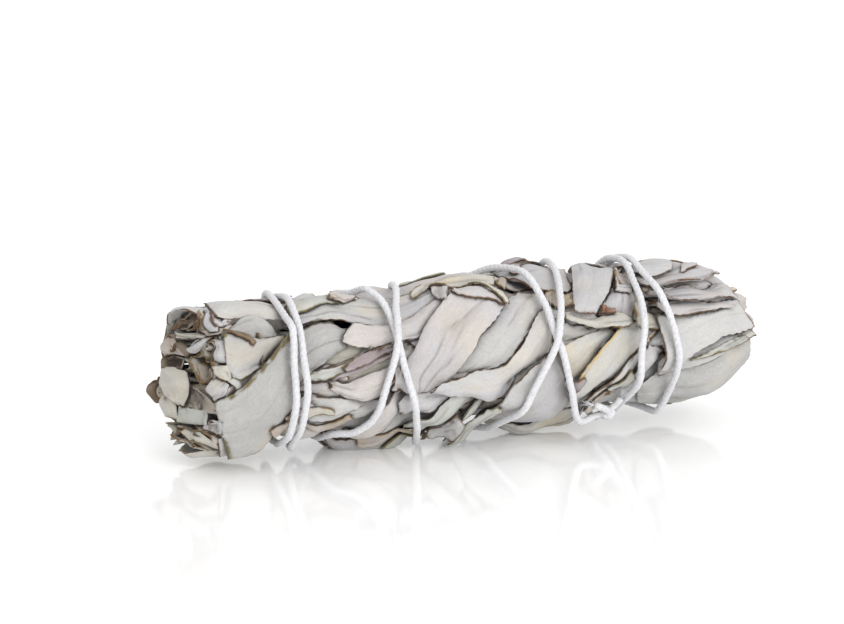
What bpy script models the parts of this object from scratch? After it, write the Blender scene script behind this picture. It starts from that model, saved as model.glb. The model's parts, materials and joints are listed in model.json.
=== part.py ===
"""A sage smudge stick: rolled sprigs of white sage in broad sage leaves, bound with cotton string.

The stick lies along X with its cut butt end at -X, on the plane z = 0. Places on it are given as the bundle
is made: along, in millimetres from the butt, and round, in degrees about its axis, 0 facing the front (-Y)
and 90 the top. The third measure is out, in millimetres from the axis. MM turns them into Blender's metres.
"""
import math
import random
from collections import namedtuple

import bmesh
import bpy
import numpy as np
from mathutils import Vector

MM = 0.001

# Driving sizes, in millimetres
STICK_MIDDLE = 49.0
FRONT_SHIFT = -0.5
BLADE = 0.65
CLEARANCE = 0.34
STRING = 1.15
STRING_CLEARANCE = 0.15
LEAF_STEP = 2.9
BACK_LEAF_STEP = 3.6
ARC = 13.0

# Along the stick: how far out its leaves reach, and how high its axis lies above the surface
STATIONS = [-4, 5, 14, 22.5, 40, 49, 63, 71, 87, 94, 99, 103]
GIRTH = [11.4, 12.2, 12.7, 12.6, 12.8, 13.6, 13.9, 13.6, 12.7, 10.9, 7.8, 4.6]
AXIS_HEIGHT = [13.6, 13.6, 13.6, 13.7, 14.1, 14.6, 14.7, 14.9, 15.4, 15.2, 15.0, 14.8]

# The grid that the leaves' reach is kept on: from and to along the stick, and its cell along and round it
REACH_SPAN = (-10.0, 110.0)
REACH_CELL = 0.5
REACH_TURN = 2.5
CELLS_BESIDE_STRING = 2
COVER_SAMPLES = 9
DRAPE_SAMPLES = 5

# How the leaves drape over the core and each other
CORE_INSET = 2.9
LEAST_CORE = 0.58
CORE_CLEARANCE = 0.5
STIFFNESS = 0.12
PRESS = 0.3
PASSES = 3
CORE_LIFT = 0.45
DRAPE_ROUNDS = 16
RAISES_A_ROUND = 6
LAST_RAISES = 60
SHORT_ENOUGH = 0.004
EVENING_ROUNDS = 40

# The string's pull: how deep and how wide the waist under it is
WAIST_DEPTH = 1.5
WAIST_DEPTH_BELOW = 3.2
WAIST_WIDTH = 2.3
LEAST_WAIST = 0.02

SAGE_TINTS = [(0.62, 0.61, 0.57), (0.57, 0.59, 0.52), (0.64, 0.59, 0.56), (0.66, 0.61, 0.54),
              (0.60, 0.57, 0.57)]
STRING_WHITE = (0.86, 0.86, 0.87)
LEAF_ROUGHNESS = 0.9
STRING_ROUGHNESS = 0.85

# A leaf lies between its two edges, each given by a few places (along, round) from its start to its end.
# Arch raises its middle, and lip raises one edge, the left one where it is positive.
Leaf = namedtuple("Leaf", "left right arch lip", defaults=(0.0, 0.0))

FRONT_LEAVES = [
    # between the butt and the first crossing of the string
    Leaf([(6, 104), (13.5, 106), (24, 106)], [(6, 66), (11.5, 63), (17, 61), (24, 70)], 0.3),
    Leaf([(6, 51), (9.5, 63), (13, 63), (15.5, 58)], [(6, 42), (9.5, 38), (12, 38), (15.5, 46)]),
    Leaf([(6, 48), (9, 47), (13, 45), (16.5, 48)],
         [(6, 20), (7.5, 11), (11, 20), (14, 32), (16.5, 43)], 0.1, 0.3),
    Leaf([(14.5, -33), (20, -30), (23, -31), (25.5, -25), (31, -22)],
         [(15, -60), (20.5, -54), (25, -44), (29, -39), (33, -25)]),
    Leaf([(14.5, -2), (20.5, -6), (25, -10), (29, -14), (32, -10)],
         [(14.5, -26), (19.5, -31), (23, -32), (26, -26), (32, -20)], 0.0, -0.3),
    # the two big leaves of the butt
    Leaf([(4.5, -38), (9.5, -32), (13.5, -22), (19, -3)], [(6, -66), (12.5, -60), (16, -40), (20.5, -18)]),
    Leaf([(3.5, -3), (7.5, 6), (11.5, 20), (17, 43), (22, 54), (27, 50)],
         [(7, -60), (12, -57), (15.5, -29), (18, 1), (21.5, 17), (26, 30)], 0.3, 0.5),
    # between the first two turns of the string
    Leaf([(22.5, 7), (26.5, 3), (29.5, 8), (34, 14)],
         [(22.5, -3), (26, -12), (29, -18), (32, -15), (34, -3)]),
    Leaf([(17.5, 8), (21, 16), (26, 22), (30, 28), (36, 34)],
         [(17.5, 3), (22, 5), (25, 7), (30, 13), (36, 23)], 0.5),
    Leaf([(18, 82), (22, 78), (28, 80), (33, 79), (39, 79), (44, 77)],
         [(18, 53), (19.5, 54), (23, 56), (28, 49), (33.5, 45), (38, 50), (44, 62)]),
    Leaf([(25.5, 40), (27.5, 48), (32, 49), (37, 54), (42, 63), (46.5, 66)],
         [(25, 31), (28, 26), (30, 26), (34, 30), (38, 31), (41.5, 44), (46, 56)]),
    Leaf([(26, -57), (29, -39), (31.5, -22), (34, -11), (38, -8)],
         [(28, -74), (32, -54), (35, -40), (36, -29), (39, -14)], 0.3),
    Leaf([(34, -15), (38, -11), (42.5, -13), (46, -13)],
         [(35, -34), (39.5, -38), (42.5, -27), (45, -17)], 0.4),
    Leaf([(35.5, -38), (40, -35), (42, -23), (44.5, -12)], [(38.5, -76), (43, -58), (46, -33), (49, -15)]),
    Leaf([(42, -80), (44.5, -47), (46.5, -30), (49.5, -15)],
         [(46, -78), (48.5, -48), (50.5, -28), (53, -16)]),
    # the broad leaves of the middle
    Leaf([(42, -4), (43.5, 8), (46.5, 22), (50.5, 36), (54, 54), (57, 62)],
         [(47, -5), (51.5, 3), (55.5, 18), (59, 34), (61, 46), (62.5, 58)], 0.2),
    Leaf([(36, -15), (34.5, 5), (37, 23), (40.5, 46), (45, 59), (50, 62)],
         [(40, -15), (43, -5), (45, 5), (48, 23), (51.5, 35), (54, 50)], 0.3),
    Leaf([(39, -10), (41.5, -4), (46, 2), (51, 3), (54.5, 17), (57, 31), (59.5, 43), (61.5, 49)],
         [(40, -14), (44.5, -17), (52, -23), (55, -9), (59, 2), (62, 15), (64.5, 30)], 0.3),
    Leaf([(44, -70), (48, -36), (51.5, -21), (54, -9), (58, 2), (60.5, 8), (62, 11)],
         [(46, -78), (55, -77), (61, -64), (65.5, -48), (67.5, -27), (68.5, -12), (68, 0)], 0.2),
    Leaf([(61.5, 35), (65, 30), (69.5, 25)], [(61.5, 14), (65, 17), (70, 21)]),
    Leaf([(61.5, 11), (63.5, 15), (66, 19), (69.5, 23), (74, 24.5)],
         [(64, -20), (66, -16), (68, -3), (71, 11), (74.5, 20)]),
    Leaf([(64, -26), (64.5, -14), (66, -4), (68.5, 8), (71.5, 18), (76.5, 26), (79, 28)],
         [(66, -45), (69, -35), (71, -26), (73, -17), (76, -3), (78.5, 7), (80.5, 14)], 0.2, 0.4),
    # the top of the middle and the right
    Leaf([(56, 102), (62, 104), (69, 102)], [(57, 69), (59.5, 60), (62.5, 59), (67, 63)], 0.3),
    Leaf([(69.5, 35), (71, 44), (73.5, 57), (75, 76)], [(76.5, 30), (77.5, 40), (78, 54), (79, 76)]),
    Leaf([(63, 38), (66, 34), (70, 32), (73.5, 36), (76, 33)],
         [(63, 30), (66, 26), (69, 22), (73, 19), (76, 22)]),
    Leaf([(78, 118), (76.5, 86), (74, 60), (71, 43), (69, 33)],
         [(71.5, 118), (69, 90), (66.5, 60), (65, 45), (63.5, 34)], 0.2),
    Leaf([(76.5, 43), (79, 41), (82, 36)], [(76, 20), (79, 17), (82, 15)]),
    Leaf([(66, -42), (70.5, -22), (73.5, -8), (78, 7)], [(68, -54), (72, -33), (76, -20), (80, -5)]),
    # the right end, tips outward
    Leaf([(70, -52), (74, -31), (76, -13), (78, 7)], [(80, -74), (83, -50), (83, -25), (81.5, 0)]),
    Leaf([(77, -26), (85.5, -17), (90, -13), (95.5, -1), (99.5, 7)],
         [(79, -60), (89, -62), (95, -62), (99.5, -50), (100.5, -9)], 0.3),
    Leaf([(80.5, -1), (85.5, 0), (89, 2), (94, 8), (100, 15)],
         [(80.5, -24), (86, -18), (90, -14), (95.5, -4), (101, 2)]),
    Leaf([(80.5, 31), (86.5, 34), (93, 46), (98, 56)],
         [(80, -18), (85, -8), (89, 0), (94, 6), (100.5, 12)], 0.4),
    Leaf([(80, 47), (83.5, 45), (88, 40), (96, 40)], [(80.5, 33), (83.5, 26), (88.5, 27), (96.5, 35)]),
    Leaf([(79.5, 59), (84, 57), (90, 60), (97.5, 80)], [(79.5, 46), (82.5, 40), (86.5, 36), (98, 50)]),
    Leaf([(79, 77), (83.5, 77), (90, 80), (95.5, 88)],
         [(79.5, 57), (84, 54), (90.5, 58), (96, 76)], 0.2, -0.3),
    Leaf([(78, 104), (84, 106), (88.5, 96)], [(78.5, 74), (82, 68), (86, 70)]),
]

# Even blades, where the shape of a single leaf doesn't show: (start, end, width, bow)
UNDER_BLADES = [
    ((1, -86), (22, -80), 15.0, 0.5),
    ((36, -90), (57, -76), 14.0, -0.5),
    ((62, -76), (98, -72), 16.5, 0.5),
    ((23, -62), (47, -54), 11.0, 0.5),
]
REST_BLADES = [
    ((25, -98), (39.5, -87), 12.0, 0.0),
    ((53.5, -96), (73, -86), 13.0, 0.0),
]
BLADE_SHARES = [0, 0.05, 0.15, 0.3, 0.5, 0.7, 0.85, 0.95, 1]
BLADE_WIDTHS = [0.42, 0.68, 0.87, 0.98, 1.0, 0.94, 0.8, 0.56, 0.24]
EDGE_WAVE = 0.05
EDGE_SAMPLES = 9
REST_WINDOW = (0.52, 0.62)
PRESS_BELOW = 0.3

BACK_ROWS = [107, 158, 212]
BACK_COLUMNS = [(2, 39), (31, 70), (62, 100)]
BACK_WIDTH = 16.5
BACK_SLANT = 26
BACK_SEED = 7

# The string's route, turn by turn, as (along, round). Each turn runs from the underside up the front, over
# the top and down the back. The later turn lies on the earlier one.
WINDING = [
    [(73.9, -37), (73.4, -42), (72.0, -47), (69.8, -49), (67.2, -47), (65.4, -40), (63.7, -20), (62.2, 0),
     (60.6, 20), (60.0, 40), (58.7, 60), (57, 80), (54.5, 112), (51, 155), (47, 205), (43.6, 245)],
    [(41.3, -90), (40.0, -75), (39.0, -60), (37.7, -40), (36.4, -20), (35.3, 0), (34.7, 15), (34.3, 30),
     (34.1, 50), (33.4, 68), (32.0, 80), (30.7, 100), (28.3, 140), (25, 185), (21.7, 230)],
    [(19.2, -90), (17.3, -50), (17.7, -20), (18.3, 20), (18.6, 60), (18.6, 100), (17.9, 150), (16.9, 220)],
    [(16.1, -90), (15.7, -50), (16.1, -20), (16.7, 20), (17.0, 60), (17.1, 100), (18.4, 140), (20.4, 190),
     (22.0, 240)],
    [(22.9, -90), (24.4, -54), (27, -45), (29.5, -33), (30.8, -20), (31.8, -5), (32.8, 10), (33.7, 25),
     (34.4, 40), (35.2, 55), (36.5, 72), (37.5, 90), (39, 115), (42, 155), (46.5, 215)],
    [(51, -90), (53.2, -50), (54.4, -38), (56.3, -20), (58.5, 0), (60.6, 20), (62.3, 40), (64, 60),
     (65.3, 80), (66.2, 100), (68.5, 140), (73, 195), (77.5, 240)],
    [(80.6, -90), (82.7, -50), (82.6, -20), (82.1, 0), (81.7, 20), (81, 32), (80, 45), (79.4, 60),
     (79.2, 80), (78.8, 120), (77.8, 180), (76.6, 240)],
    [(75.8, -90), (75.4, -40), (75.8, -20), (76, 0), (76.4, 20), (77, 40), (77.5, 60), (77.7, 80),
     (77.0, 130), (75.5, 200), (73.8, 250)],
    [(72.6, -75), (72.2, -52), (71.4, -42), (69.8, -37), (68.4, -35)],
]
ROUTE_STEP = 0.5
ROUTE_SHARES = 12
TAUT_ROUNDS = 60
TAUT_SHARE = 0.5
KINK_SHARE = 0.12
CROSSING_ROUNDS = 4
CROSSING_GAP = 0.14
LEAST_BETWEEN = 12
STRING_SLACK = 0.11
LONGEST_SPAN = 12
STRING_ROUNDNESS = 2

# The knot, and how many places at each end of the string it may tie
KNOT = 2.3
KNOT_REACH = 40

# The core: one rolled sprig in the middle and six round it. Turns is how far the leaf is rolled, flat
# squeezes the roll, and ragged shifts its cut end along the stick.
Sprig = namedtuple("Sprig", "start_angle turns flat ragged")
SPRIGS = [
    Sprig(40, 1.12, 0.95, 1.6),
    Sprig(200, 1.0, 0.90, 0.4),
    Sprig(120, 1.12, 0.92, -1.2),
    Sprig(330, 1.12, 0.92, 1.0),
    Sprig(30, 1.0, 0.95, -0.6),
    Sprig(260, 1.12, 0.93, 0.9),
    Sprig(80, 1.0, 0.92, -1.6),
]
SPRIG_STATIONS = [0, 5, 10, 13, 21, 34, 48, 62, 76, 89]
SIDES_A_TURN = 8
ROLL_HEART = 0.75
ROLL_GAP = 0.3
ROLL_RAG = 1.3
ROLL_SECTOR = 34
FIRST_FACING = 15
STEM = 0.6
STEM_PROUD = 1.0
STEM_SHORT = 3.0


def girth(along):
    return np.interp(along, STATIONS, GIRTH)


def axis_height(along):
    return np.interp(along, STATIONS, AXIS_HEIGHT)


def to_world(along, round_, out):
    """World place in metres of a place on the bundle."""
    turn = np.radians(round_)
    x = along - STICK_MIDDLE
    y = -out * np.cos(turn) - FRONT_SHIFT
    z = axis_height(along) + out * np.sin(turn)
    return np.stack([x, y, z], axis=-1) * MM


def to_bundle(points):
    """Along, round and out of world places in metres."""
    x, y, z = np.moveaxis(np.asarray(points) / MM, -1, 0)
    along = x + STICK_MIDDLE
    rise = z - axis_height(along)
    front = -(y + FRONT_SHIFT)
    return along, np.degrees(np.arctan2(rise, front)), np.hypot(rise, front)


class Reach:
    """How far out the bundle reaches so far, kept on a grid of places along and round it."""

    def __init__(self, route):
        self.rows = np.arange(*REACH_SPAN, REACH_CELL)
        self.turn = np.arange(0, 360, REACH_TURN)
        along, round_ = np.meshgrid(self.rows, self.turn, indexing="ij")
        below = np.clip(-np.sin(np.radians(round_)), 0, 1)
        core = girth(along) - CORE_INSET + CORE_LIFT * np.sin(np.radians(round_))
        depth = WAIST_DEPTH + (WAIST_DEPTH_BELOW - WAIST_DEPTH) * below
        self.waist = depth * waist(along, round_, route)
        self.target = girth(along) - self.waist
        self.least = LEAST_CORE * girth(along)
        self.floor = core - self.waist
        self.out = self.floor.copy()
        self.under = np.full_like(self.floor, np.inf)

    def draw_in(self):
        """Draw the floor in by as much as the leaves laid on it stand past the girth, and clear them."""
        excess = self.out - self.target
        for _ in range(EVENING_ROUNDS):
            around = np.roll(excess, 1, 1) + np.roll(excess, -1, 1)
            excess[1:-1] = (excess[2:] + excess[:-2] + around[1:-1] + 2 * excess[1:-1]) / 6
        self.floor = np.maximum(self.floor - excess, self.least)
        self.out = self.floor.copy()
        self.under = np.full_like(self.floor, np.inf)

    def room(self, first, last, facing):
        """How far out the core may reach under the leaves, from first to last and beside facing."""
        rows = (self.rows >= first) & (self.rows <= last)
        beside = np.abs(np.mod(self.turn - facing + 180, 360) - 180) <= ROLL_SECTOR
        bare = np.where(self.waist > LEAST_WAIST, self.floor, self.target - BLADE)
        limit = np.where(np.isinf(self.under), bare, self.under)
        return limit[np.ix_(rows, beside)].min() - CORE_CLEARANCE

    def index(self, along, round_):
        i = np.clip((along - REACH_SPAN[0]) / REACH_CELL, 0, len(self.rows) - 1)
        return i, np.mod(round_, 360) / REACH_TURN

    def read(self, along, round_):
        """The highest reach in the cells round each place."""
        i, j = self.index(along, round_)
        i = np.rint(i).astype(int)
        j = np.rint(j).astype(int)
        best = np.full(np.shape(along), -np.inf)
        for di in (-1, 0, 1):
            for dj in (-1, 0, 1):
                row = np.clip(i + di, 0, len(self.rows) - 1)
                best = np.maximum(best, self.out[row, (j + dj) % len(self.turn)])
        return best

    def clear_of_string(self, along, round_):
        """How far out the string's middle has to lie at each place to clear the cells beside it."""
        i, j = self.index(along, round_)
        clear = STRING / 2 + STRING_CLEARANCE
        arc_step = math.radians(REACH_TURN) * ARC
        need = np.full(np.shape(along), -np.inf)
        near = range(-CELLS_BESIDE_STRING, CELLS_BESIDE_STRING + 1)
        for di in near:
            for dj in near:
                row, column = np.rint(i).astype(int) + di, np.rint(j).astype(int) + dj
                apart = np.hypot((row - i) * REACH_CELL, (column - j) * arc_step) - REACH_CELL / 2
                lift = np.sqrt(np.clip(clear ** 2 - np.clip(apart, 0, None) ** 2, 0, None))
                out = self.out[np.clip(row, 0, len(self.rows) - 1), column % len(self.turn)] + lift
                need = np.maximum(need, np.where(apart < clear, out, -np.inf))
        return need

    def sample(self, points, triangles):
        """The cells of a surface, sampled evenly over its triangles, and how far out it lies in each."""
        shares = shares_of_triangle(COVER_SAMPLES)
        places = np.einsum("ks,tsc->tkc", shares, points[triangles]).reshape(-1, 3)
        along, round_, out = to_bundle(places)
        i, j = self.index(along, round_)
        return np.rint(i).astype(int), np.rint(j).astype(int) % len(self.turn), out

    def cover(self, outer, inner, triangles):
        """Raise the reach to a leaf's outer face, and keep how low its inner face hangs."""
        i, j, out = self.sample(outer, triangles)
        np.maximum.at(self.out, (i, j), out)
        i, j, out = self.sample(inner, triangles)
        np.minimum.at(self.under, (i, j), out)


def waist(along, round_, route):
    """How strongly the string pulls in at each place: 1 under it, falling off beside it."""
    nearest = np.full(along.shape, 1e9)
    for place, turn in route[::2]:
        across = (np.mod(round_ - turn + 180, 360) - 180) * math.radians(1) * ARC
        np.minimum(nearest, (along - place) ** 2 + across ** 2, out=nearest)
    return np.exp(-nearest / (2 * WAIST_WIDTH ** 2))


def shares_of_triangle(count):
    """Weights of the three corners at evenly spread places in a triangle."""
    grid = [(a, b, count - a - b) for a in range(count + 1) for b in range(count + 1 - a)]
    return np.array(grid) / count


def drape(reach, along, round_, triangles):
    """The lowest smooth surface over these places that clears the bundle below it."""
    shares = shares_of_triangle(DRAPE_SAMPLES)
    sample_along = along[triangles] @ shares.T
    sample_round = round_[triangles] @ shares.T
    need = reach.read(sample_along, sample_round) + CLEARANCE
    share_power = (shares ** 2).sum(axis=1)
    out = np.zeros(len(along))
    for corner in range(3):
        np.maximum.at(out, triangles[:, corner], need.min(axis=1))
    neighbours = np.zeros(len(along))
    edges = np.concatenate([triangles[:, [0, 1]], triangles[:, [1, 2]], triangles[:, [2, 0]]])
    edges = np.concatenate([edges, edges[:, ::-1]])
    np.add.at(neighbours, edges[:, 0], 1)
    for turn in range(DRAPE_ROUNDS + 1):
        if turn < DRAPE_ROUNDS:
            around = np.zeros(len(along))
            np.add.at(around, edges[:, 0], out[edges[:, 1]])
            out += STIFFNESS * (around / neighbours - out) - PRESS
        for _ in range(RAISES_A_ROUND if turn < DRAPE_ROUNDS else LAST_RAISES):
            short = np.maximum(need - out[triangles] @ shares.T, 0)
            if short.max() < SHORT_ENOUGH:
                break
            raise_by = np.zeros(len(along))
            for corner in range(3):
                lift = (short * shares[:, corner] / share_power).max(axis=1)
                np.maximum.at(raise_by, triangles[:, corner], lift)
            out += raise_by
    return out


def material(name, colour, roughness):
    finish = bpy.data.materials.new(name)
    finish.use_nodes = True
    shader = finish.node_tree.nodes["Principled BSDF"]
    shader.inputs["Base Color"].default_value = (*colour, 1)
    shader.inputs["Roughness"].default_value = roughness
    shader.inputs["Metallic"].default_value = 0
    return finish


def add_object(name, mesh, colour, roughness, collection):
    piece = bpy.data.objects.new(name, mesh)
    piece.data.materials.append(material(name + "_finish", colour, roughness))
    collection.objects.link(piece)
    return piece


def flattened(places):
    """Places (along, round) as they lie on the unrolled bundle, in millimetres."""
    return np.array(places, float) * [1.0, math.radians(1) * ARC]


def blade(start, end, width, bow=0.0, arch=0.0, lip=0.0):
    """A leaf with even edges, on a bowed midline from start to end."""
    start, end = flattened([start, end])
    run = end - start
    side = np.array([-run[1], run[0]]) / np.hypot(*run)
    edges = []
    for half in (width / 2, -width / 2):
        flat = [start + run * u + side * (half * share + bow * 4 * u * (1 - u))
                for u, share in zip(BLADE_SHARES, BLADE_WIDTHS)]
        edges.append(np.array(flat) / flattened([1.0, 1.0]))
    return Leaf(*edges, arch, lip)


def edge_line(edge, share):
    """Flat places along a leaf's edge, on a smooth curve through the places that it is given by."""
    points = flattened(edge)
    knots = np.concatenate([[0], np.cumsum(np.hypot(*np.diff(points, axis=0).T))])
    knots /= knots[-1]
    slopes = np.gradient(points, knots, axis=0)
    n = np.clip(np.searchsorted(knots, share) - 1, 0, len(knots) - 2)
    gap = (knots[n + 1] - knots[n])[:, None]
    t = (share - knots[n])[:, None] / gap
    return ((1 + 2 * t) * (1 - t) ** 2 * points[n] + t * (1 - t) ** 2 * gap * slopes[n]
            + t ** 2 * (3 - 2 * t) * points[n + 1] + t ** 2 * (t - 1) * gap * slopes[n + 1])


def outline(leaf, share_along, share_across, waves):
    """Along and round of places on a leaf, between its two edges, which are a little scalloped."""
    left, right = edge_line(leaf.left, share_along), edge_line(leaf.right, share_along)
    across = share_across * (1 + EDGE_WAVE * np.cos(math.pi * share_along * waves) * np.abs(share_across))
    place = (left + right) / 2 + (left - right) / 2 * across[:, None]
    return place[:, 0], np.degrees(place[:, 1] / ARC)


def grid_of(leaf, step):
    """How many cells a leaf's grid has along and across it."""
    share = np.linspace(0, 1, EDGE_SAMPLES)
    left, right = edge_line(leaf.left, share), edge_line(leaf.right, share)
    length = np.hypot(*np.diff((left + right) / 2, axis=0).T).sum()
    width = np.hypot(*(left - right).T).mean()
    return max(4, round(length / step)), max(2, round(width / step))


def lay(leaf, reach, step, rests):
    """A leaf's grid, laid over what is below it: its flat places, triangles, and where each place lies."""
    n_along, n_across = grid_of(leaf, step)
    shape = bmesh.new()
    bmesh.ops.create_grid(shape, x_segments=n_along, y_segments=n_across, size=0.5)
    bmesh.ops.triangulate(shape, faces=shape.faces)
    shape.verts.ensure_lookup_table()
    flat = np.array([v.co[:2] for v in shape.verts])
    triangles = np.array([[v.index for v in f.verts] for f in shape.faces])
    share_along = flat[:, 0] + 0.5
    share_across = flat[:, 1] * 2
    along, round_ = outline(leaf, share_along, share_across, n_along)
    out = drape(reach, along, round_, triangles)
    out += leaf.arch * np.sin(np.pi * share_along) * (1 - share_across ** 2)
    lipped = np.clip(share_across * np.sign(leaf.lip), 0, 1) ** 3
    out += np.abs(leaf.lip) * lipped * np.sin(np.pi * share_along)
    if rests:
        out = lower_to_surface(along, round_, out, share_along, share_across)
    outer = to_world(along, round_, out + BLADE)
    outer[:, 2] = np.maximum(outer[:, 2], 0)
    inner = to_world(along, round_, out)
    inner[:, 2] = np.maximum(inner[:, 2], BLADE * MM)
    reach.cover(outer, inner, triangles)
    return shape, flat, inner, outer


def leaf_blade(name, laid, tint, collection):
    """A leaf as one closed blade: its flat grid given a thickness, then moved to where it lies."""
    shape, flat, inner, outer = laid
    place = {(round(u, 5), round(v, 5)): n for n, (u, v) in enumerate(flat)}
    bmesh.ops.solidify(shape, geom=shape.faces[:], thickness=0.001)
    middle = (max(v.co.z for v in shape.verts) + min(v.co.z for v in shape.verts)) / 2
    for v in shape.verts:
        n = place[(round(v.co.x, 5), round(v.co.y, 5))]
        v.co = Vector(outer[n] if v.co.z > middle else inner[n])
    bmesh.ops.recalc_face_normals(shape, faces=shape.faces[:])
    if shape.calc_volume(signed=True) < 0:
        bmesh.ops.reverse_faces(shape, faces=shape.faces[:])
    mesh = bpy.data.meshes.new(name)
    shape.to_mesh(mesh)
    shape.free()
    return add_object(name, mesh, tint, LEAF_ROUGHNESS, collection)


def lower_to_surface(along, round_, out, share_along, share_across):
    """Swell the middle of a leaf under the bundle until it is pressed flat on the surface."""
    rise = np.abs(np.sin(np.radians(round_)))
    floor = (axis_height(along) + PRESS_BELOW) / rise - BLADE
    u = np.clip((1 - np.abs(2 * share_along - 1)) / (1 - REST_WINDOW[0]), 0, 1)
    v = np.clip((1 - np.abs(share_across)) / (1 - REST_WINDOW[1]), 0, 1)
    press = (u * u * (3 - 2 * u)) * (v * v * (3 - 2 * v))
    return out + press * np.maximum(floor - out, 0)


def smooth_route():
    """The string's route as close places (along, round), on a smooth curve through the winding's points."""
    marks = [(place, turn * 360 + round_) for turn, row in enumerate(WINDING) for place, round_ in row]
    marks = [(2 * marks[0][0] - marks[1][0], 2 * marks[0][1] - marks[1][1])] + marks
    marks += [(2 * marks[-1][0] - marks[-2][0], 2 * marks[-1][1] - marks[-2][1])]
    flat = flattened(marks)
    gaps = np.sqrt(np.hypot(*(flat[1:] - flat[:-1]).T))
    knots = np.concatenate([[0], np.cumsum(gaps)])
    dense = []
    for n in range(1, len(marks) - 2):
        p, t = flat[n - 1:n + 3], knots[n - 1:n + 3]
        for share in np.linspace(0, 1, ROUTE_SHARES, endpoint=False):
            now = t[1] + share * (t[2] - t[1])
            a = [((t[k + 1] - now) * p[k] + (now - t[k]) * p[k + 1]) / (t[k + 1] - t[k]) for k in range(3)]
            b = [((t[k + 2] - now) * a[k] + (now - t[k]) * a[k + 1]) / (t[k + 2] - t[k]) for k in range(2)]
            dense.append(((t[2] - now) * b[0] + (now - t[1]) * b[1]) / (t[2] - t[1]))
    dense.append(flat[-2])
    dense = np.array(dense)
    steps = np.concatenate([[0], np.cumsum(np.hypot(*np.diff(dense, axis=0).T))])
    even = np.arange(0, steps[-1], ROUTE_STEP)
    return np.stack([np.interp(even, steps, dense[:, 0]),
                     np.degrees(np.interp(even, steps, dense[:, 1]) / ARC)], axis=1)


def pull_taut(need):
    """The lowest run that clears every need and is smooth between."""
    out = need.copy()
    for _ in range(TAUT_ROUNDS):
        middle = (out[:-2] + out[2:]) / 2
        out[1:-1] = np.maximum(need[1:-1], out[1:-1] + TAUT_SHARE * (middle - out[1:-1]))
        kink = (out[:-2] + out[2:]) / 2 - out[1:-1]
        out[:-2] += np.clip(-kink, 0, 1) * KINK_SHARE
        out[2:] += np.clip(-kink, 0, 1) * KINK_SHARE
    return out


def thin_out(points, slack):
    """The points that a run needs to stay within slack of its full list."""
    keep = [0, len(points) - 1]
    spans = [(0, len(points) - 1)]
    while spans:
        a, b = spans.pop()
        if b - a < 2:
            continue
        chord = points[b] - points[a]
        offset = points[a + 1:b] - points[a]
        share = np.clip(offset @ chord / max(chord @ chord, 1e-18), 0, 1)
        away = np.linalg.norm(offset - share[:, None] * chord, axis=1)
        worst = int(away.argmax())
        if away[worst] > slack or b - a > LONGEST_SPAN:
            middle = a + 1 + (worst if away[worst] > slack else (b - a) // 2 - 1)
            keep.append(middle)
            spans += [(a, middle), (middle, b)]
    return points[sorted(set(keep))]


def string_run(reach, route):
    """Places of the string's middle line, clear of the leaves and stacked where turns cross."""
    along, round_ = route.T
    need = reach.clear_of_string(along, round_)
    out = pull_taut(need)
    spacing = STRING + CROSSING_GAP
    for _ in range(CROSSING_ROUNDS):
        raised = need.copy()
        across = np.radians(round_) * ARC
        for n in range(LEAST_BETWEEN, len(along)):
            near = slice(0, n - LEAST_BETWEEN + 1)
            gap = np.mod(across[near] - across[n] + math.pi * ARC, 2 * math.pi * ARC) - math.pi * ARC
            apart = (along[near] - along[n]) ** 2 + gap ** 2
            close = apart < spacing ** 2
            if close.any():
                over = out[near][close] + np.sqrt(spacing ** 2 - apart[close])
                raised[n] = max(raised[n], over.max())
        out = pull_taut(raised)
    return to_world(along, round_, out)


def tube_mesh(name, points, radius, roundness):
    """A closed tube along these points, in metres, as a mesh."""
    curve = bpy.data.curves.new(name, "CURVE")
    curve.dimensions = "3D"
    curve.bevel_depth = radius
    curve.bevel_resolution = roundness
    curve.use_fill_caps = True
    spline = curve.splines.new("POLY")
    spline.points.add(len(points) - 1)
    for n, point in enumerate(points):
        spline.points[n].co = (*point, 1)
    guide = bpy.data.objects.new(name + "_guide", curve)
    bpy.context.scene.collection.objects.link(guide)
    bpy.context.view_layer.update()
    mesh = bpy.data.meshes.new_from_object(guide.evaluated_get(bpy.context.evaluated_depsgraph_get()))
    bpy.data.objects.remove(guide)
    mesh.name = name
    mesh.materials.clear()
    weld(mesh)
    return mesh


def cotton_string(reach, route, collection, cutters):
    """One cotton string through all its turns, with its two ends tied in a knot."""
    run = string_run(reach, route)
    mesh = tube_mesh("cotton_string", thin_out(run, STRING_SLACK * MM), STRING / 2 * MM, STRING_ROUNDNESS)
    piece = add_object("cotton_string", mesh, STRING_WHITE, STRING_ROUGHNESS, collection)
    join_with(piece, knot_lump(run, cutters))


def weld(mesh):
    shape = bmesh.new()
    shape.from_mesh(mesh)
    bmesh.ops.remove_doubles(shape, verts=shape.verts, dist=0.00001)
    bmesh.ops.recalc_face_normals(shape, faces=shape.faces)
    shape.to_mesh(mesh)
    shape.free()


def helper(name, mesh, cutters):
    """A shape that is only there to be joined into another."""
    shape = bpy.data.objects.new(name, mesh)
    cutters.objects.link(shape)
    shape.hide_render = True
    shape.display_type = "WIRE"
    return shape


def join_with(piece, tool):
    """Union of a piece with a helper, applied, with the helper removed."""
    joint = piece.modifiers.new("join", "BOOLEAN")
    joint.operation = "UNION"
    joint.solver = "MANIFOLD"
    joint.object = tool
    bpy.context.view_layer.update()
    result = bpy.data.meshes.new_from_object(piece.evaluated_get(bpy.context.evaluated_depsgraph_get()))
    piece.modifiers.clear()
    result.name = piece.name
    piece.data = result
    bpy.data.objects.remove(tool)


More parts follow.
